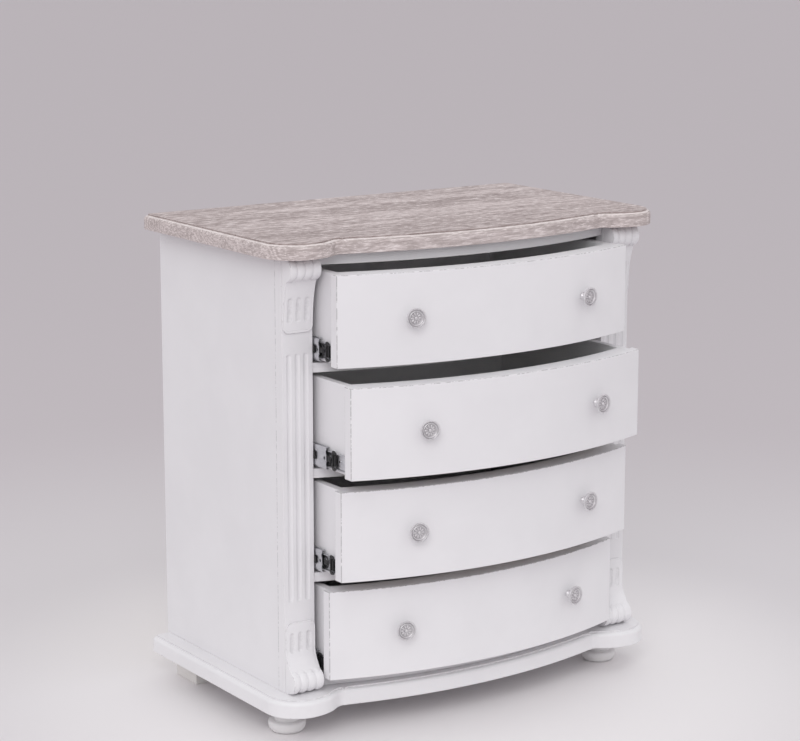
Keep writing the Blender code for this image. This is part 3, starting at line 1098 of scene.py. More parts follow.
@dataclass
class CornerPost:
    """A front post with three round-ended flutes down its face."""

    side: Side
    case: Case
    flutes: int = 3
    pitch: float = 0.018
    width: float = 0.011
    radius: float = 0.008
    low: float = 0.173
    high: float = 0.180
    stations: tuple[float, ...] = (0.0, 0.0012, 0.0024, 0.0035, 0.0044, 0.005, 0.0055)
    corner_ease: float = 0.0008
    corner_wear: float = 0.4

    def build(self, finish: Material) -> None:
        """Builds the post.

        Args:
            finish: Its paint.
        """
        node = f"front_post_{self.side.word}"
        low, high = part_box(node)
        half = (high.x - low.x) / 2
        start, end = self.case.base_top + self.low, self.case.top - self.high
        depth = high.y - low.y
        centres = [self.pitch * (i - (self.flutes - 1) / 2) for i in range(self.flutes)]
        steps = [sign * step for step in self.stations for sign in (-1, 1)]
        mesh = carved(
            [(-half, low.z), (half, low.z), (half, high.z), (-half, high.z)],
            sorted({centre + step for centre in centres for step in steps}),
            sorted({start + s for s in self.stations} | {end - s for s in self.stations}),
            lambda x, z: min(
                flute_depth(x, z, centres, start, end, self.width, self.radius) - depth, -1e-3
            ),
        )
        uprights = [e for e in rim_edges(mesh) if all(abs(v.co.x) > half - NEAR for v in e.verts)]
        ease(mesh, uprights, self.corner_ease, 2, self.corner_wear)
        moved(mesh, (middle_of(node).x, high.y, 0))
        deliver(node + "_fluted", mesh, [finish], "cabinet", Slot.PAINT, [node], 38.0)


def flute_depth(
    x: float, z: float, centres: Sequence[float], start: float, end: float, width: float,
    radius: float,
) -> float:
    """Depth of the nearest round-ended flute at a place on a flat face.

    Args:
        x: Place across the flutes.
        z: Place along them.
        centres: Middle of each flute.
        start: First end of the flutes.
        end: Last end of the flutes.
        width: Width of a flute.
        radius: Radius of its hollow.

    Returns:
        The depth, 0 outside every flute.
    """
    across = min(abs(x - centre) for centre in centres)
    beyond = max(start + width / 2 - z, z - end + width / 2, 0.0)
    away = math.hypot(across, beyond)
    if away >= width / 2:
        return 0.0
    return math.sqrt(radius**2 - away**2) - math.sqrt(radius**2 - (width / 2) ** 2)


@dataclass
class Bracket:
    """A carved bracket: a reeded roll hollowing out into a fluted plate with a rounded tip."""

    end: End
    roll_radius: float = 0.022
    roll_centre: float = 0.0125
    roll_rise: float = 0.023
    reed_pitch: float = 0.0165
    reed_radius: float = 0.0112
    outer_reed_share: float = 0.45
    crown_share: float = 0.62
    notch: float = 1.6
    corner: float = 0.013
    flute_width: float = 0.011
    flute_radius: float = 0.011
    flute_pitch: float = 0.018
    flute_start: float = 0.075
    flute_tip_gap: float = 0.019
    flute_deepening: float = 1.3
    border: float = 0.0032
    border_start: float = 0.049
    border_fade: float = 0.004
    border_width: float = 0.0011
    border_depth: float = 0.0008
    least: float = 0.0012
    rim_ease: float = 0.00045
    rim_wear: float = 0.75
    full_shade_depth: float = 0.0015
    most_shade: float = 0.28
    grid: float = 0.0011
    half: float = field(init=False)
    height: float = field(init=False)

    def __post_init__(self) -> None:
        """Reads the bracket's size from its solid."""
        low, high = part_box(f"{self.end.value}_bracket_left")
        self.half = (high.x - low.x) / 2
        self.height = high.z - low.z

    @property
    def hollow(self) -> tuple[Point, ...]:
        """The hollow below the roll, as (ahead of the post, along it from the board)."""
        if self.end is End.TOP:
            return (
                (0.0166, 0.0446), (0.0128, 0.054), (0.0098, 0.0655), (0.0062, 0.0845),
                (0.0042, 0.1035), (0.003, 0.124),
            )
        return (
            (0.0185, 0.0442), (0.014, 0.0515), (0.01, 0.058), (0.0062, 0.066), (0.004, 0.073),
            (0.003, 0.08),
        )

    def reed(self, x: float, along: float) -> float:
        """How far the roll is cut back between its reeds.

        Args:
            x: Place across the bracket.
            along: Distance from the board.

        Returns:
            The depth.
        """
        crown = self.reed_pitch * (math.floor(x / self.reed_pitch) + 0.5)
        away = abs(x - crown)
        depth = self.reed_radius - math.sqrt(self.reed_radius**2 - away**2)
        if abs(x) > 1.5 * self.reed_pitch:
            depth *= self.outer_reed_share
        turn = min(abs(along - self.roll_rise) / self.roll_radius, 1.0)
        return depth * (self.crown_share + (1.0 - self.crown_share) * turn * turn)

    def ahead(self, x: float, along: float) -> float:
        """How far the carved face stands ahead of the post.

        Args:
            x: Place across the bracket.
            along: Distance from the board.

        Returns:
            The distance.
        """
        radius = self.roll_radius - self.reed(x, along)
        off = along - self.roll_rise
        roll = 0.0
        if abs(off) < radius:
            roll = self.roll_centre + math.sqrt(radius**2 - off**2)
        if off < 0:
            return max(roll, self.roll_centre - self.reed(x, along) * self.notch)
        return max(roll, smooth_through(self.hollow, along))

    def flute(self, x: float, along: float) -> float:
        """Depth of the plate's flutes.

        Args:
            x: Place across the bracket.
            along: Distance from the board.

        Returns:
            The depth.
        """
        return self.flute_deepening * flute_depth(
            x, along, (-self.flute_pitch, 0.0, self.flute_pitch), self.flute_start,
            self.height - self.flute_tip_gap, self.flute_width, self.flute_radius,
        )

    def front(self, x: float, along: float) -> float:
        """The carved face with its flutes and its border line, as Y from the back.

        Args:
            x: Place across the bracket.
            along: Distance from the board.

        Returns:
            The place.
        """
        ahead = self.ahead(x, along) - self.flute(x, along)
        inside = self.inside(x, along)
        line = max(0.0, 1.0 - abs(inside - self.border) / self.border_width)
        fade = min(max((along - self.border_start) / self.border_fade, 0.0), 1.0)
        return -max(ahead - self.border_depth * line * fade, self.least)

    def inside(self, x: float, along: float) -> float:
        """Distance inside the bracket's sides and round-cornered tip.

        Args:
            x: Place across the bracket.
            along: Distance from the board.

        Returns:
            The distance from the nearest edge.
        """
        flat_x, flat_z = self.half - self.corner, self.height - self.corner
        if abs(x) > flat_x and along > flat_z:
            return self.corner - math.hypot(abs(x) - flat_x, along - flat_z)
        return min(self.half - abs(x), self.height - along)

    def build(self, finish: Material) -> None:
        """Builds the bracket once and sets it on both posts.

        Args:
            finish: Its paint.
        """
        half, height = self.half, self.height
        tip = arc((half - self.corner, height - self.corner), self.corner, 0, 90, 12)
        outline = [(half, 0.0)] + tip
        outline += mirrored(outline)
        mesh = carved(outline, self.columns(), self.rows(), self.front)
        # painted shade in the flutes, darker where they are deeper
        for face in mesh.faces:
            middle = face.calc_center_median()
            shade = min(self.flute(middle.x, middle.z) / self.full_shade_depth, self.most_shade)
            mark(mesh, [face], HOLLOW, shade if middle.y < -0.0005 else 0.0)
        ease(mesh, rim_edges(mesh), self.rim_ease, 2, self.rim_wear)
        top = self.end is End.TOP
        if top:
            bmesh.ops.scale(mesh, verts=mesh.verts, vec=(1, 1, -1))
            bmesh.ops.reverse_faces(mesh, faces=mesh.faces)
        for side in Side:
            node = f"{self.end.value}_bracket_{side.word}"
            low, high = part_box(node)
            twin = copied(mesh, (middle_of(node).x, high.y, high.z if top else low.z))
            name = node + "_carved"
            deliver(name, twin, [finish], "cabinet", Slot.PAINT, [node], 60.0, False)
        mesh.free()

    def columns(self) -> list[float]:
        """X of the upright cuts, with one in each groove between two reeds.

        Returns:
            The places.
        """
        count = round(2 * self.half / self.grid)
        even = [-self.half + 2 * self.half * i / count for i in range(1, count)]
        reeds = [self.reed_pitch * i for i in (-1, 0, 1)]
        return [x for x in even if all(abs(x - reed) > 0.0004 for reed in reeds)] + reeds

    def rows(self) -> list[float]:
        """Places of the level cuts from the board on, set by angle over the roll.

        Returns:
            The places.
        """
        turns = [math.radians(-88 + 5.5 * i) for i in range(31)]
        over_roll = [self.roll_rise + self.roll_radius * math.sin(turn) for turn in turns]
        plate = 0.043
        count = round((self.height - plate) / (self.grid * 1.15))
        beyond = [plate + (self.height - plate) * i / count for i in range(count)]
        return [along for along in over_roll if 0.0015 < along < plate - 0.0005] + beyond


@dataclass
class Feet:
    """Turned bun feet in front and square blocks behind."""

    ball: tuple[Point, ...] = (
        (0.70, 0.0), (0.79, 0.03), (0.87, 0.12), (0.93, 0.26), (0.972, 0.42), (0.995, 0.60),
        (1.0, 0.72), (0.99, 0.83), (0.965, 0.91), (0.91, 0.965), (0.82, 0.995), (0.72, 1.0),
    )
    ball_height: float = 0.022
    neck: float = 0.024
    block_ease: float = 0.0016

    def build(self, paint: Material, wood: Material) -> None:
        """Builds the four feet.

        Args:
            paint: Paint of the bun feet.
            wood: Wood of the rear blocks.
        """
        for side in Side:
            node = f"bun_foot_{side.word}"
            low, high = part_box(node)
            radius = (high.x - low.x) / 2
            profile = [(0.0, 0.0)]
            profile += [(share * radius, up * self.ball_height) for share, up in self.ball]
            profile += [
                (self.neck + 0.0008, self.ball_height + 0.0001),
                (self.neck, self.ball_height + 0.001), (self.neck, high.z), (0.0, high.z),
            ]
            mesh = moved(turned(profile, 96), (*middle_of(node).xy, 0))
            deliver(node + "_turned", mesh, [paint], "cabinet", Slot.PAINT, [node], 35.0)
            node = f"block_foot_{side.word}"
            mesh = block(*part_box(node))
            ease(mesh, sharp_edges(mesh), self.block_ease, 3, 0.5)
            deliver(node + "_sawn", mesh, [wood], "cabinet", Slot.BOARD, [node])


@dataclass
class BackPanel:
    """The thin back, pinned into the side panels' rebates."""

    pin_radius: float = 0.0016
    pin_inset: float = 0.0045
    pins_up: int = 9
    pins_end: float = 0.03

    def build(self, board: Material, steel: Material) -> None:
        """Builds the panel and its pins.

        Args:
            board: Material of the panel.
            steel: Material of the pins.
        """
        low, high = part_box("back_panel")
        mesh = block(low, high)
        ease(mesh, sharp_edges(mesh), 0.0005, 2)
        deliver("back_board", mesh, [board], "cabinet", Slot.BOARD, ["back_panel"])
        radius = self.pin_radius
        profile = [(0, -0.001), (radius, -0.001), (radius, 0.0), (0.0011, 0.0002), (0, 0.0002)]
        step = (high.z - low.z - 2 * self.pins_end) / (self.pins_up - 1)
        pins = []
        for i in range(self.pins_up):
            for x in (low.x + self.pin_inset, high.x - self.pin_inset):
                head = rotated(turned(profile, 16), -math.pi / 2, "X")
                pins.append(moved(head, (x, high.y - 0.0003, low.z + self.pins_end + step * i)))
        deliver("back_pins", joined(*pins), [steel], "cabinet", Slot.STEEL)


@dataclass
class Bow:
    """The circle that rails and drawer fronts follow."""

    half: float
    swell: float = 0.060

    @property
    def radius(self) -> float:
        """Radius of the drawer fronts' faces."""
        return (self.half**2 + self.swell**2) / (2 * self.swell)


@dataclass
class Rails:
    """Bowed rails below, between and above the drawers."""

    bow: Bow
    setback: float = 0.004
    lip_ease: float = 0.0009
    names: tuple[str, ...] = (
        "bottom_rail", "divider_rail_1", "divider_rail_2", "divider_rail_3", "top_rail",
    )

    def build(self, finish: Material) -> None:
        """Builds every rail.

        Args:
            finish: Their paint.
        """
        radius = self.bow.radius - self.setback
        for node in self.names:
            low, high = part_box(node)
            plan = bow(high.x, low.y + radius, radius, 72) + [(high.x, high.y), (low.x, high.y)]
            mesh = raised(plan, low.z, high.z)
            lips = [
                edge for edge in sharp_edges(mesh, 60)
                if all(corner.co.y < high.y - 0.002 for corner in edge.verts)
                and abs(edge.verts[0].co.z - edge.verts[1].co.z) < 1e-6
            ]
            ease(mesh, lips, self.lip_ease, 2, 0.4)
            deliver(node + "_bowed", mesh, [finish], "cabinet", Slot.PAINT, [node])


@dataclass
class Slide:
    """One ball-bearing slide: case member, travelling member and drawer member."""

    number: int
    side: Side
    catch_back: float = 0.0
    members: tuple[str, ...] = ("case", "middle", "drawer")
    halves: tuple[float, float, float] = (0.0265, 0.0219, 0.0155)
    depths: tuple[float, float, float] = (0.0092, 0.0085, 0.0075)
    steel: float = 0.0012
    web_half: float = 0.0080
    balls: int = 8
    cage_length: float = 0.170
    cage_end: float = 0.004
    hole_radius: float = 0.0030
    hole_places: tuple[float, ...] = (0.0065, 0.070, 0.300)
    screw_places: tuple[float, ...] = (0.025, 0.150, 0.330)
    middle: float = field(init=False)

    def __post_init__(self) -> None:
        """Reads the height of the slide's middle."""
        self.middle = middle_of(self.node("case")).z

    def node(self, member: str) -> str:
        """Name of a member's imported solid."""
        return f"slide_{member}_member_{self.number}_{self.side.word}"

    def section(self, depth: float, half: float, recess: float, lip: float) -> list[Point]:
        """A channel's folded section, as (away from its web, height).

        Args:
            depth: Reach of its legs.
            half: Half of its height.
            recess: How far the middle of the web is pressed back.
            lip: How far the legs' ends curl back.

        Returns:
            The section's points.
        """
        band = self.web_half
        upper = [
            (recess, band - 0.0007), (0.0, band + 0.0007), (0.0, half - 0.0056),
            (0.0004, half - 0.0034), (0.0014, half - 0.0014), (0.0028, half - 0.0003),
            (0.0040, half), (depth - 0.0022, half), (depth - 0.0007, half - 0.0006),
            (depth, half - lip),
        ]
        return [(u, -v) for u, v in reversed(upper)] + upper

    def member(self, kind: int, web: float, reach: int, recess: float, lip: float) -> Mesh:
        """A member folded from steel.

        Args:
            kind: 0 for the case member, 1 for the travelling one and 2 for the drawer's.
            web: X of the outer face of its web.
            reach: Direction of its legs along X.
            recess: How far the middle of the web is pressed back.
            lip: How far the legs' ends curl back.

        Returns:
            The mesh.
        """
        low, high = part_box(self.node(self.members[kind]))
        points = [
            (web + reach * u, self.middle + v)
            for u, v in self.section(self.depths[kind], self.halves[kind], recess, lip)
        ]
        return folded(points, low.y, high.y - low.y, -reach * self.steel)

    def cage(self, kind: int, rear: float, web: float, reach: int) -> Mesh:
        """Ball rows above and below a member, at its rear end.

        Args:
            kind: The member that the balls run on, as for member().
            rear: Y of its rear end.
            web: X of its web.
            reach: Direction of the balls from the web.

        Returns:
            The mesh.
        """
        near, far = self.halves[kind], self.halves[kind - 1] - self.steel
        parts = []
        rear -= self.cage_end
        x = web + reach * 0.0042
        for sign in (-1, 1):
            z = self.middle + sign * (near + far) / 2
            strip = block(
                (x - 0.0012, rear - self.cage_length, z - 0.0004), (x + 0.0012, rear, z + 0.0004)
            )
            ease(strip, sharp_edges(strip), 0.0002, 1)
            parts.append(strip)
            for i in range(self.balls):
                ball = new_mesh()
                bmesh.ops.create_icosphere(ball, subdivisions=2, radius=(far - near) / 2)
                parts.append(moved(ball, (x, rear - self.cage_length * (i + 0.5) / self.balls, z)))
        return joined(*parts)

    def build(self, finishes: Finishes) -> None:
        """Builds the three members with their balls, bumper, catch and screws.

        Args:
            finishes: Every finish.
        """
        sign = self.side.value
        bodies = ("cabinet", f"slide_pair_{self.number}", f"drawer_{self.number}")
        shapes = ((-sign, 0.0, 0.0022), (-sign, 0.0011, 0.0018), (sign, 0.0, 0.0016))
        for kind, (member, body, shape) in enumerate(zip(self.members, bodies, shapes)):
            node = self.node(member)
            low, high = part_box(node)
            web = high.x if shape[0] < 0 else low.x
            mesh = self.member(kind, web, *shape)
            if member == "middle":
                mesh = cut_away(mesh, self.holes(web, low.y))
            if member != "case":
                mesh = joined(mesh, self.cage(kind, high.y, web, shape[0]))
            name = f"{member}_channel_{self.number}_{self.side.word}"
            deliver(name, mesh, [finishes.steel], body, Slot.STEEL, [node])
            if member == "case":
                self.bumper(web, low.y, finishes)
        self.screws(web, low.y, finishes)
        self.catches(web, low.y, finishes)

    def holes(self, web: float, start: float) -> list[Mesh]:
        """Cutters for the round holes in the travelling member's web.

        Args:
            web: X of the web.
            start: Y of the member's front end.

        Returns:
            The cutters.
        """
        radius, deep = self.hole_radius, 0.006
        hole = turned([(0, -deep), (radius, -deep), (radius, deep), (0, deep)], 24)
        rotated(hole, math.pi / 2, "Y")
        made = [copied(hole, (web, start + back, self.middle)) for back in self.hole_places]
        hole.free()
        return made

    def screws(self, web: float, start: float, finishes: Finishes) -> None:
        """Heads of the screws that hold the drawer member, each with its recess painted black as
        shade.

        Args:
            web: X of the drawer member's web.
            start: Y of its front end.
            finishes: Every finish.
        """
        sign = self.side.value
        profile = [
            (0, 0), (0.0042, 0), (0.0042, 0.0006), (0.0038, 0.0014), (0.0032, 0.0018),
            (0.0027, 0.0017), (0.0024, 0.0006), (0, 0.0005),
        ]
        heads = []
        for back in self.screw_places:
            head = turned(profile, 24)
            # faces inside the recess take black plastic as painted shade of the drive hole
            for face in head.faces:
                face.material_index = int(math.hypot(*face.calc_center_median().xy) < 0.0026)
            rotated(head, sign * math.pi / 2, "Y")
            heads.append(
                moved(head, (web + sign * (self.steel + 0.0001), start + back, self.middle))
            )
        name = f"slide_screws_{self.number}_{self.side.word}"
        steel_and_recess_shade = [finishes.steel, finishes.black]
        deliver(name, joined(*heads), steel_and_recess_shade, f"drawer_{self.number}", Slot.STEEL)

    def bumper(self, web: float, start: float, finishes: Finishes) -> None:
        """Black plastic end of the case member.

        Args:
            web: X of the member's web.
            start: Y of its front end.
            finishes: Every finish.
        """
        near, far = sorted((web, web - self.side.value * 0.0012))
        half = 0.0072
        end = block(
            (near, start - 0.027, self.middle - half), (far, start - 0.0002, self.middle + half)
        )
        ease(end, sharp_edges(end), 0.0003, 2)
        name = f"slide_bumper_{self.number}_{self.side.word}"
        deliver(name, end, [finishes.black], "cabinet", Slot.STEEL)

    def catches(self, web: float, start: float, finishes: Finishes) -> None:
        """Black release lever and catch on the drawer member.

        Args:
            web: X of the drawer member's web.
            start: Y of its front end.
            finishes: Every finish.
        """
        sign = self.side.value
        start += self.catch_back

        def plate(points: Iterable[Point], inner: float, outer: float) -> Mesh:
            """A flat plate that stands upright along the slide.

            Args:
                points: Its outline, as (behind the catch's front, height) in millimetres.
                inner: Where it starts, away from the web.
                outer: Where it ends.

            Returns:
                The closed plate.
            """
            outline = [(start + back / 1000, self.middle + up / 1000) for back, up in points]
            made = raised(outline, *sorted((web + sign * inner, web + sign * outer)), axis="X")
            ease(made, sharp_edges(made, 50), 0.0003, 2)
            return made

        body = [(10.5, -8), (7.5, -11), (19, -11), (19, 11), (6.5, 11), (10, 8)]
        lever = [
            (19, 0), (19.6, 7), (20, 12), (19.5, 15.6), (17.5, 18), (14, 18.8), (9, 18.2),
            (4.5, 15.4), (4, 13.2), (10, 12.9), (14.6, 12), (15.6, 8), (15.8, -8), (14.8, -12),
            (10, -13.1), (4, -13.6), (4.5, -15.8), (9, -18.3), (14, -18.8), (17.5, -18),
            (19.5, -15.6), (20, -12), (19.6, -7),
        ]
        hook = arc((36.1, 0), 12.6, 266, 94, 20) + arc((38.6, 0), 12.3, 101, 259, 20)
        stop = [(27.2, -5.2), (38.6, -5.4), (39.6, 0), (38.6, 5.4), (27.2, 5.2)]
        flat = [plate(points, 0.0066, 0.0077) for points in (lever, hook, stop)]
        deliver(
            f"slide_catch_{self.number}_{self.side.word}",
            joined(plate(body, 0.0022, 0.0062), *flat), [finishes.black],
            f"drawer_{self.number}", Slot.STEEL,
        )


def pellet(size: Sequence[float], around: int) -> Mesh:
    """A small rounded bead.

    Args:
        size: Its half sizes.
        around: Number of faces around it.

    Returns:
        The closed bead.
    """
    mesh = new_mesh()
    bmesh.ops.create_uvsphere(mesh, u_segments=around, v_segments=8, radius=1.0)
    bmesh.ops.scale(mesh, verts=mesh.verts, vec=size)
    return mesh


@dataclass
class Knob:
    """A dished round knob with a roped rim, a ring and a rosette, on a waisted stem."""

    number: int
    side: Side
    centre: float
    middle: float
    bow: Bow
    spacing: float = 0.392
    reach: float = 0.0215
    spread: float = 1.07
    rope: int = 40
    rope_turn: float = 32.0
    petals: int = 10

    def profile(self) -> list[Point]:
        """Outline of the turned part, as (radius, height above the front).

        Returns:
            The points.
        """
        stem = [
            (0, SEAT), (0.0066, SEAT), (0.0068, 0.0010), (0.0066, 0.0022), (0.0056, 0.0030),
            (0.0046, 0.0045), (0.0041, 0.0065),
        ]
        head = (
            (0.0040, 0.0150), (0.0046, 0.0120), (0.0064, 0.0095), (0.0098, 0.0078),
            (0.0138, 0.0067), (0.0162, 0.0057), (0.0172, 0.0043), (0.0172, 0.0029),
            (0.0163, 0.0019), (0.0150, 0.0020), (0.0144, 0.0032), (0.0137, 0.0033),
            (0.0131, 0.0022), (0.0124, 0.0017), (0.0117, 0.0022), (0.0110, 0.0036),
            (0.0098, 0.0044), (0.0060, 0.0048), (0.0036, 0.0044), (0.0030, 0.0024),
            (0.0024, 0.0014), (0.0014, 0.0009), (0, 0.0008),
        )
        return stem + [(radius, self.reach - down) for radius, down in head]

    @staticmethod
    def ring(count: int, bead: Mesh) -> list[Mesh]:
        """Copies of a bead in a ring about the knob's axis.

        Args:
            count: How many.
            bead: The first one, freed here.

        Returns:
            The copies.
        """
        beads = [rotated(bead.copy(), math.tau * i / count, "Z") for i in range(count)]
        bead.free()
        return beads

    def build(self, finish: Material) -> None:
        """Builds the knob.

        Args:
            finish: Its metal.
        """
        top = self.reach
        body = turned(self.profile(), 72)
        hollow = body.loops.layers.float[HOLLOW]
        # the dish inside the rim is marked for painted shade
        for face in body.faces:
            for loop in face.loops:
                spot = loop.vert.co
                deep = 0.0030 < top - spot.z < 0.0056 and math.hypot(spot.x, spot.y) < 0.0146
                loop[hollow] = 0.55 if deep else 0.0
        bead = rotated(pellet((0.0016, 0.00115, 0.0016), 10), math.radians(self.rope_turn), "X")
        petal = pellet((0.0033, 0.0016, 0.0011), 12)
        mesh = joined(
            body, *self.ring(self.rope, moved(bead, (0.0162, 0, top - 0.0017))),
            *self.ring(self.petals, moved(petal, (0.0069, 0, top - 0.0043))),
        )
        bmesh.ops.scale(mesh, verts=mesh.verts, vec=(self.spread, self.spread, 1))
        rotated(mesh, math.pi / 2, "X")
        sign = self.side.value
        tilt = math.asin(self.spacing / 2 / self.bow.radius)
        rotated(mesh, sign * tilt, "Z")
        seat = self.centre - self.bow.radius * math.cos(tilt)
        moved(mesh, (sign * self.spacing / 2, seat, self.middle))
        node = f"knob_{self.number}_{self.side.word}"
        body = f"drawer_{self.number}"
        deliver(node + "_cast", mesh, [finish], body, Slot.PEWTER, [node], 60.0, False)


@dataclass
class Drawer:
    """A bow-fronted drawer with its box, knobs and slides."""

    number: int
    bow: Bow
    catch_back: float = 0.0
    thickness: float = 0.020
    lowered: float = 0.0065
    easing: float = 0.0011
    board: float = 0.015
    inner_front: float = 0.022
    back_board: float = 0.012
    bottom_board: float = 0.006
    bottom_rise: float = 0.010
    top_wear: float = 0.85
    easing_wear: float = 0.38

    @property
    def body(self) -> str:
        """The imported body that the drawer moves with."""
        return f"drawer_{self.number}"

    def build(self, finishes: Finishes) -> None:
        """Builds every piece of the drawer.

        Args:
            finishes: Every finish.
        """
        low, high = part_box(f"drawer_front_{self.number}")
        centre = low.y + self.bow.radius
        self.front(low, high, centre, finishes)
        self.box(centre, finishes)
        for side in Side:
            knob = Knob(self.number, side, centre, (low.z + high.z) / 2, self.bow)
            knob.build(finishes.pewter)
            Slide(self.number, side, self.catch_back).build(finishes)

    def front(self, low: Vector, high: Vector, centre: float, finishes: Finishes) -> None:
        """The bowed front, worn along its upright edges.

        Args:
            low: Lowest corner of its solid.
            high: Highest corner of its solid.
            centre: Y of the bow's middle.
            finishes: Every finish.
        """
        radius = self.bow.radius
        plan = bow(high.x, centre, radius, 96)
        plan += list(reversed(bow(high.x, centre, radius - self.thickness, 96)))
        top = high.z - self.lowered
        mesh = raised(plan, low.z, top)
        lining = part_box(f"drawer_box_{self.number}")[1].x
        for face in mesh.faces:
            middle = face.calc_center_median()
            if face.normal.y > 0.5 and abs(middle.x) < lining - 0.004:
                face.material_index = 1
        for face in ease(mesh, sharp_edges(mesh, 60), self.easing, 4, self.easing_wear):
            face.material_index = 0
            middle = face.calc_center_median()
            ahead = math.hypot(middle.x, middle.y - centre) > radius - self.thickness / 2
            if abs(middle.x) > high.x - 2 * self.easing:
                mark(mesh, [face], WORN, 1.0)
            elif ahead and middle.z > top - 2 * self.easing:
                mark(mesh, [face], WORN, self.top_wear)
        deliver(
            f"front_board_{self.number}", mesh, [finishes.paint, finishes.lining], self.body,
            Slot.PAINT, [f"drawer_front_{self.number}"],
        )

    def box(self, centre: float, finishes: Finishes) -> None:
        """Sides, inner front, back and bottom of the drawer.

        Args:
            centre: Y of the bow's middle.
            finishes: Every finish.
        """
        low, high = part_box(f"drawer_box_{self.number}")
        seat = self.bow.radius - self.thickness - SEAT
        inner = high.x - self.board
        for side in Side:
            sign = side.value
            near, far = sorted((sign * inner, sign * high.x))
            plan = [(x, centre - math.sqrt(seat**2 - x**2)) for x in (near, far)]
            plan += [(far, high.y), (near, high.y)]
            mesh = raised(plan, low.z, high.z)
            self.line_board(mesh, lambda face, s=sign: face.normal.x * s < -0.5, 0.001)
            replaced = [f"drawer_box_{self.number}"] if side is Side.LEFT else []
            name = f"box_side_{self.number}_{side.word}"
            self.send(name, mesh, finishes.paint, finishes, replaced)
        clear = inner - SEAT
        rear = high.y - self.back_board
        mesh = block((-clear, rear, low.z), (clear, high.y, high.z))
        self.line_board(mesh, lambda face: face.normal.y < -0.5, 0.001)
        self.send(f"box_back_{self.number}", mesh, finishes.paint, finishes)
        hollow = seat - self.inner_front
        plan = bow(clear, centre, seat, 72) + list(reversed(bow(clear, centre, hollow, 72)))
        mesh = raised(plan, low.z, high.z)
        self.line_board(mesh, lambda face: face.normal.y > 0.5, 0.0007)
        self.send(f"box_front_{self.number}", mesh, finishes.paint, finishes)
        rear -= SEAT
        plan = bow(clear, centre, hollow - SEAT, 48) + [(clear, rear), (-clear, rear)]
        floor = low.z + self.bottom_rise
        mesh = raised(plan, floor, floor + self.bottom_board)
        for face in mesh.faces:
            face.material_index = int(face.normal.z > 0.5)
        self.send(f"box_bottom_{self.number}", mesh, finishes.board, finishes)

    def send(
        self, name: str, mesh: Mesh, outside: Material, finishes: Finishes,
        replaced: Sequence[str] = (),
    ) -> None:
        """Delivers a board of the box.

        Args:
            name: Its name.
            mesh: Its mesh.
            outside: Material of the faces that aren't lined.
            finishes: Every finish.
            replaced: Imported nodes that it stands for.
        """
        deliver(name, mesh, [outside, finishes.lining], self.body, Slot.BOX, replaced)

    @staticmethod
    def line_board(mesh: Mesh, lined: Callable, easing: float) -> None:
        """Gives the lined faces of a board the second material and eases its edges.

        Args:
            mesh: The board.
            lined: Tells whether a face is lined.
            easing: Width of the eased edges.
        """
        for face in mesh.faces:
            face.material_index = int(lined(face))
        for face in ease(mesh, sharp_edges(mesh), easing, 2, 0.3):
            face.material_index = 0


# Studio


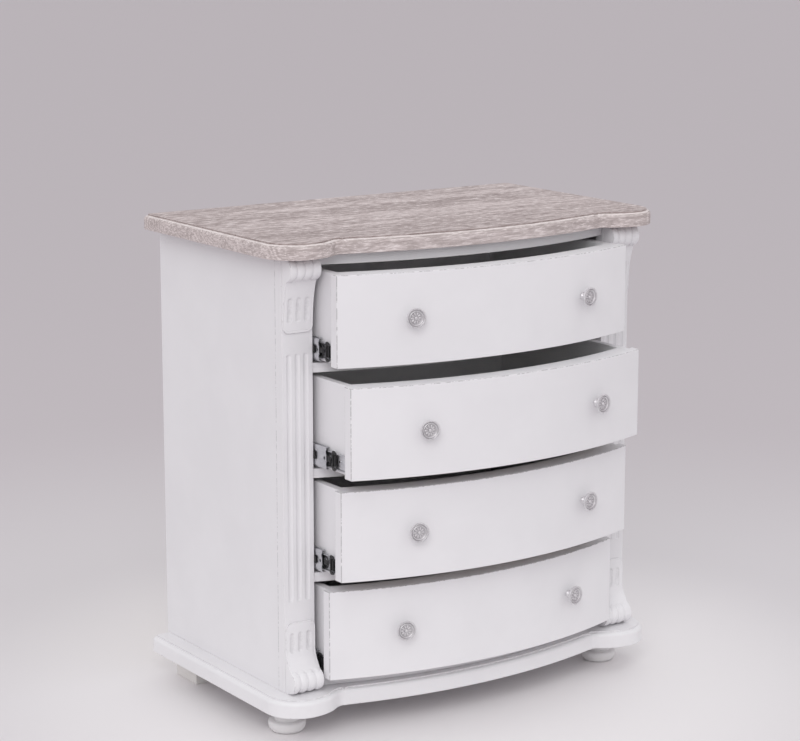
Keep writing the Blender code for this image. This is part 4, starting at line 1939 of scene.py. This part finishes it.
@dataclass
class Studio:
    """Camera, lamps, pale floor and the backdrop's colour."""

    floor_under: Colour = (0.82, 0.79, 0.80, 1)
    floor_near: Colour = (0.64, 0.61, 0.63, 1)
    floor_far: Colour = (0.55, 0.505, 0.53, 1)
    backdrop: Colour = (0.55, 0.50, 0.53, 1)
    light: Colour = (0.985, 0.99, 1.0, 1.0)
    ambient: float = 0.912
    key_power: float = 62.0

    def build(self) -> None:
        """Sets up the whole studio."""
        self.floor()
        self.world()
        self.lamps()
        self.camera()

    def floor(self) -> None:
        """A large floor, painted lighter towards the chest to lift the chest's shadow there."""
        mesh = bmesh.new()
        bmesh.ops.create_grid(mesh, x_segments=2, y_segments=2, size=30.0)
        data = baked(mesh, "floor")
        sheet = Sheet("floor", 0.7)
        place = sheet.place()
        away = sheet.add("ShaderNodeVectorMath", operation="LENGTH", i0=place).outputs["Value"]
        # painted light: the floor is lighter close to the chest
        colour = sheet.mix(sheet.ramp(away, 0.45, 1.1), self.floor_under, self.floor_near)
        sheet.wire(sheet.mix(sheet.ramp(away, 0.8, 2.6), colour, self.floor_far), "Base Color")
        data.materials.append(sheet.made)
        floor = placed("floor", data)

    def world(self) -> None:
        """Soft light all round. What the camera sees of it has the backdrop's own colour."""
        world = bpy.data.worlds.new("studio")
        world.use_nodes = True
        bpy.context.scene.world = world
        world.node_tree.nodes.clear()
        nodes = Nodes(world.node_tree)
        rays = nodes.add("ShaderNodeLightPath").outputs
        seen = nodes.plus(rays["Is Camera Ray"], rays["Is Transmission Ray"])
        seen = nodes.math("MINIMUM", nodes.plus(seen, rays["Is Glossy Ray"]), 1.0)
        light = nodes.add("ShaderNodeBackground", i0=self.light, i1=self.ambient)
        shown = nodes.add("ShaderNodeBackground", i0=self.backdrop)
        both = nodes.add("ShaderNodeMixShader", i0=seen, i1=light.outputs[0], i2=shown.outputs[0])
        nodes.add("ShaderNodeOutputWorld", i0=both.outputs[0])

    def lamps(self) -> None:
        """A large soft key from the front left and a weaker fill from above."""
        aim = Vector((0.0, -0.1, 0.45))
        for name, place, power, size in (
            ("key", (-3.0, -3.4, 3.2), self.key_power, 2.6),
            ("top fill", (0.6, -1.6, 4.2), self.key_power * 0.15, 3.0),
        ):
            light = bpy.data.lights.new(name, "AREA")
            light.shape = "DISK"
            light.size = size
            light.energy = power
            lamp = placed(name, light)
            lamp.location = place
            lamp.rotation_euler = (aim - Vector(place)).to_track_quat("-Z", "Y").to_euler()

    def camera(self) -> None:
        """The camera of the photograph, as fitted to its edges."""
        lens = bpy.data.cameras.new("camera")
        lens.lens = 106.244
        lens.sensor_width = 36.0
        lens.sensor_fit = "HORIZONTAL"
        holder = placed("camera", lens)
        holder.location = (-2.57255, -3.72120, 1.56261)
        holder.rotation_euler = (math.radians(78.391), 0.0, math.radians(-34.083))
        bpy.context.scene.camera = holder
        bpy.context.scene.view_settings.view_transform = "Standard"


def main() -> None:
    """Builds the chest piece by piece, then its studio."""
    logging.basicConfig(level=logging.INFO, format="%(message)s")
    finishes = make_finishes()
    case = Case()
    MouldedBoard("oak_top", "top_board", case, Slot.OAK).build(finishes.oak)
    MouldedBoard(
        "painted_base", "base_board", case, Slot.PAINT, step_shade=0.35, shoulder_wear=0.1
    ).build(finishes.paint)
    for side in Side:
        SidePanel(side, case).build(finishes.paint, finishes.runner)
        CornerPost(side, case).build(finishes.paint)
    for end in End:
        Bracket(end).build(finishes.paint)
    Feet().build(finishes.foot_paint, finishes.foot_block)
    BackPanel().build(finishes.board, finishes.steel)
    bow_line = Bow(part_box("drawer_front_1")[1].x)
    Rails(bow_line).build(finishes.paint)
    for number in range(1, DRAWERS + 1):
        Drawer(number, bow_line, catch_back=0.025 if number == 2 else 0.0).build(finishes)
    Studio().build()


if __name__ == "__main__":
    main()
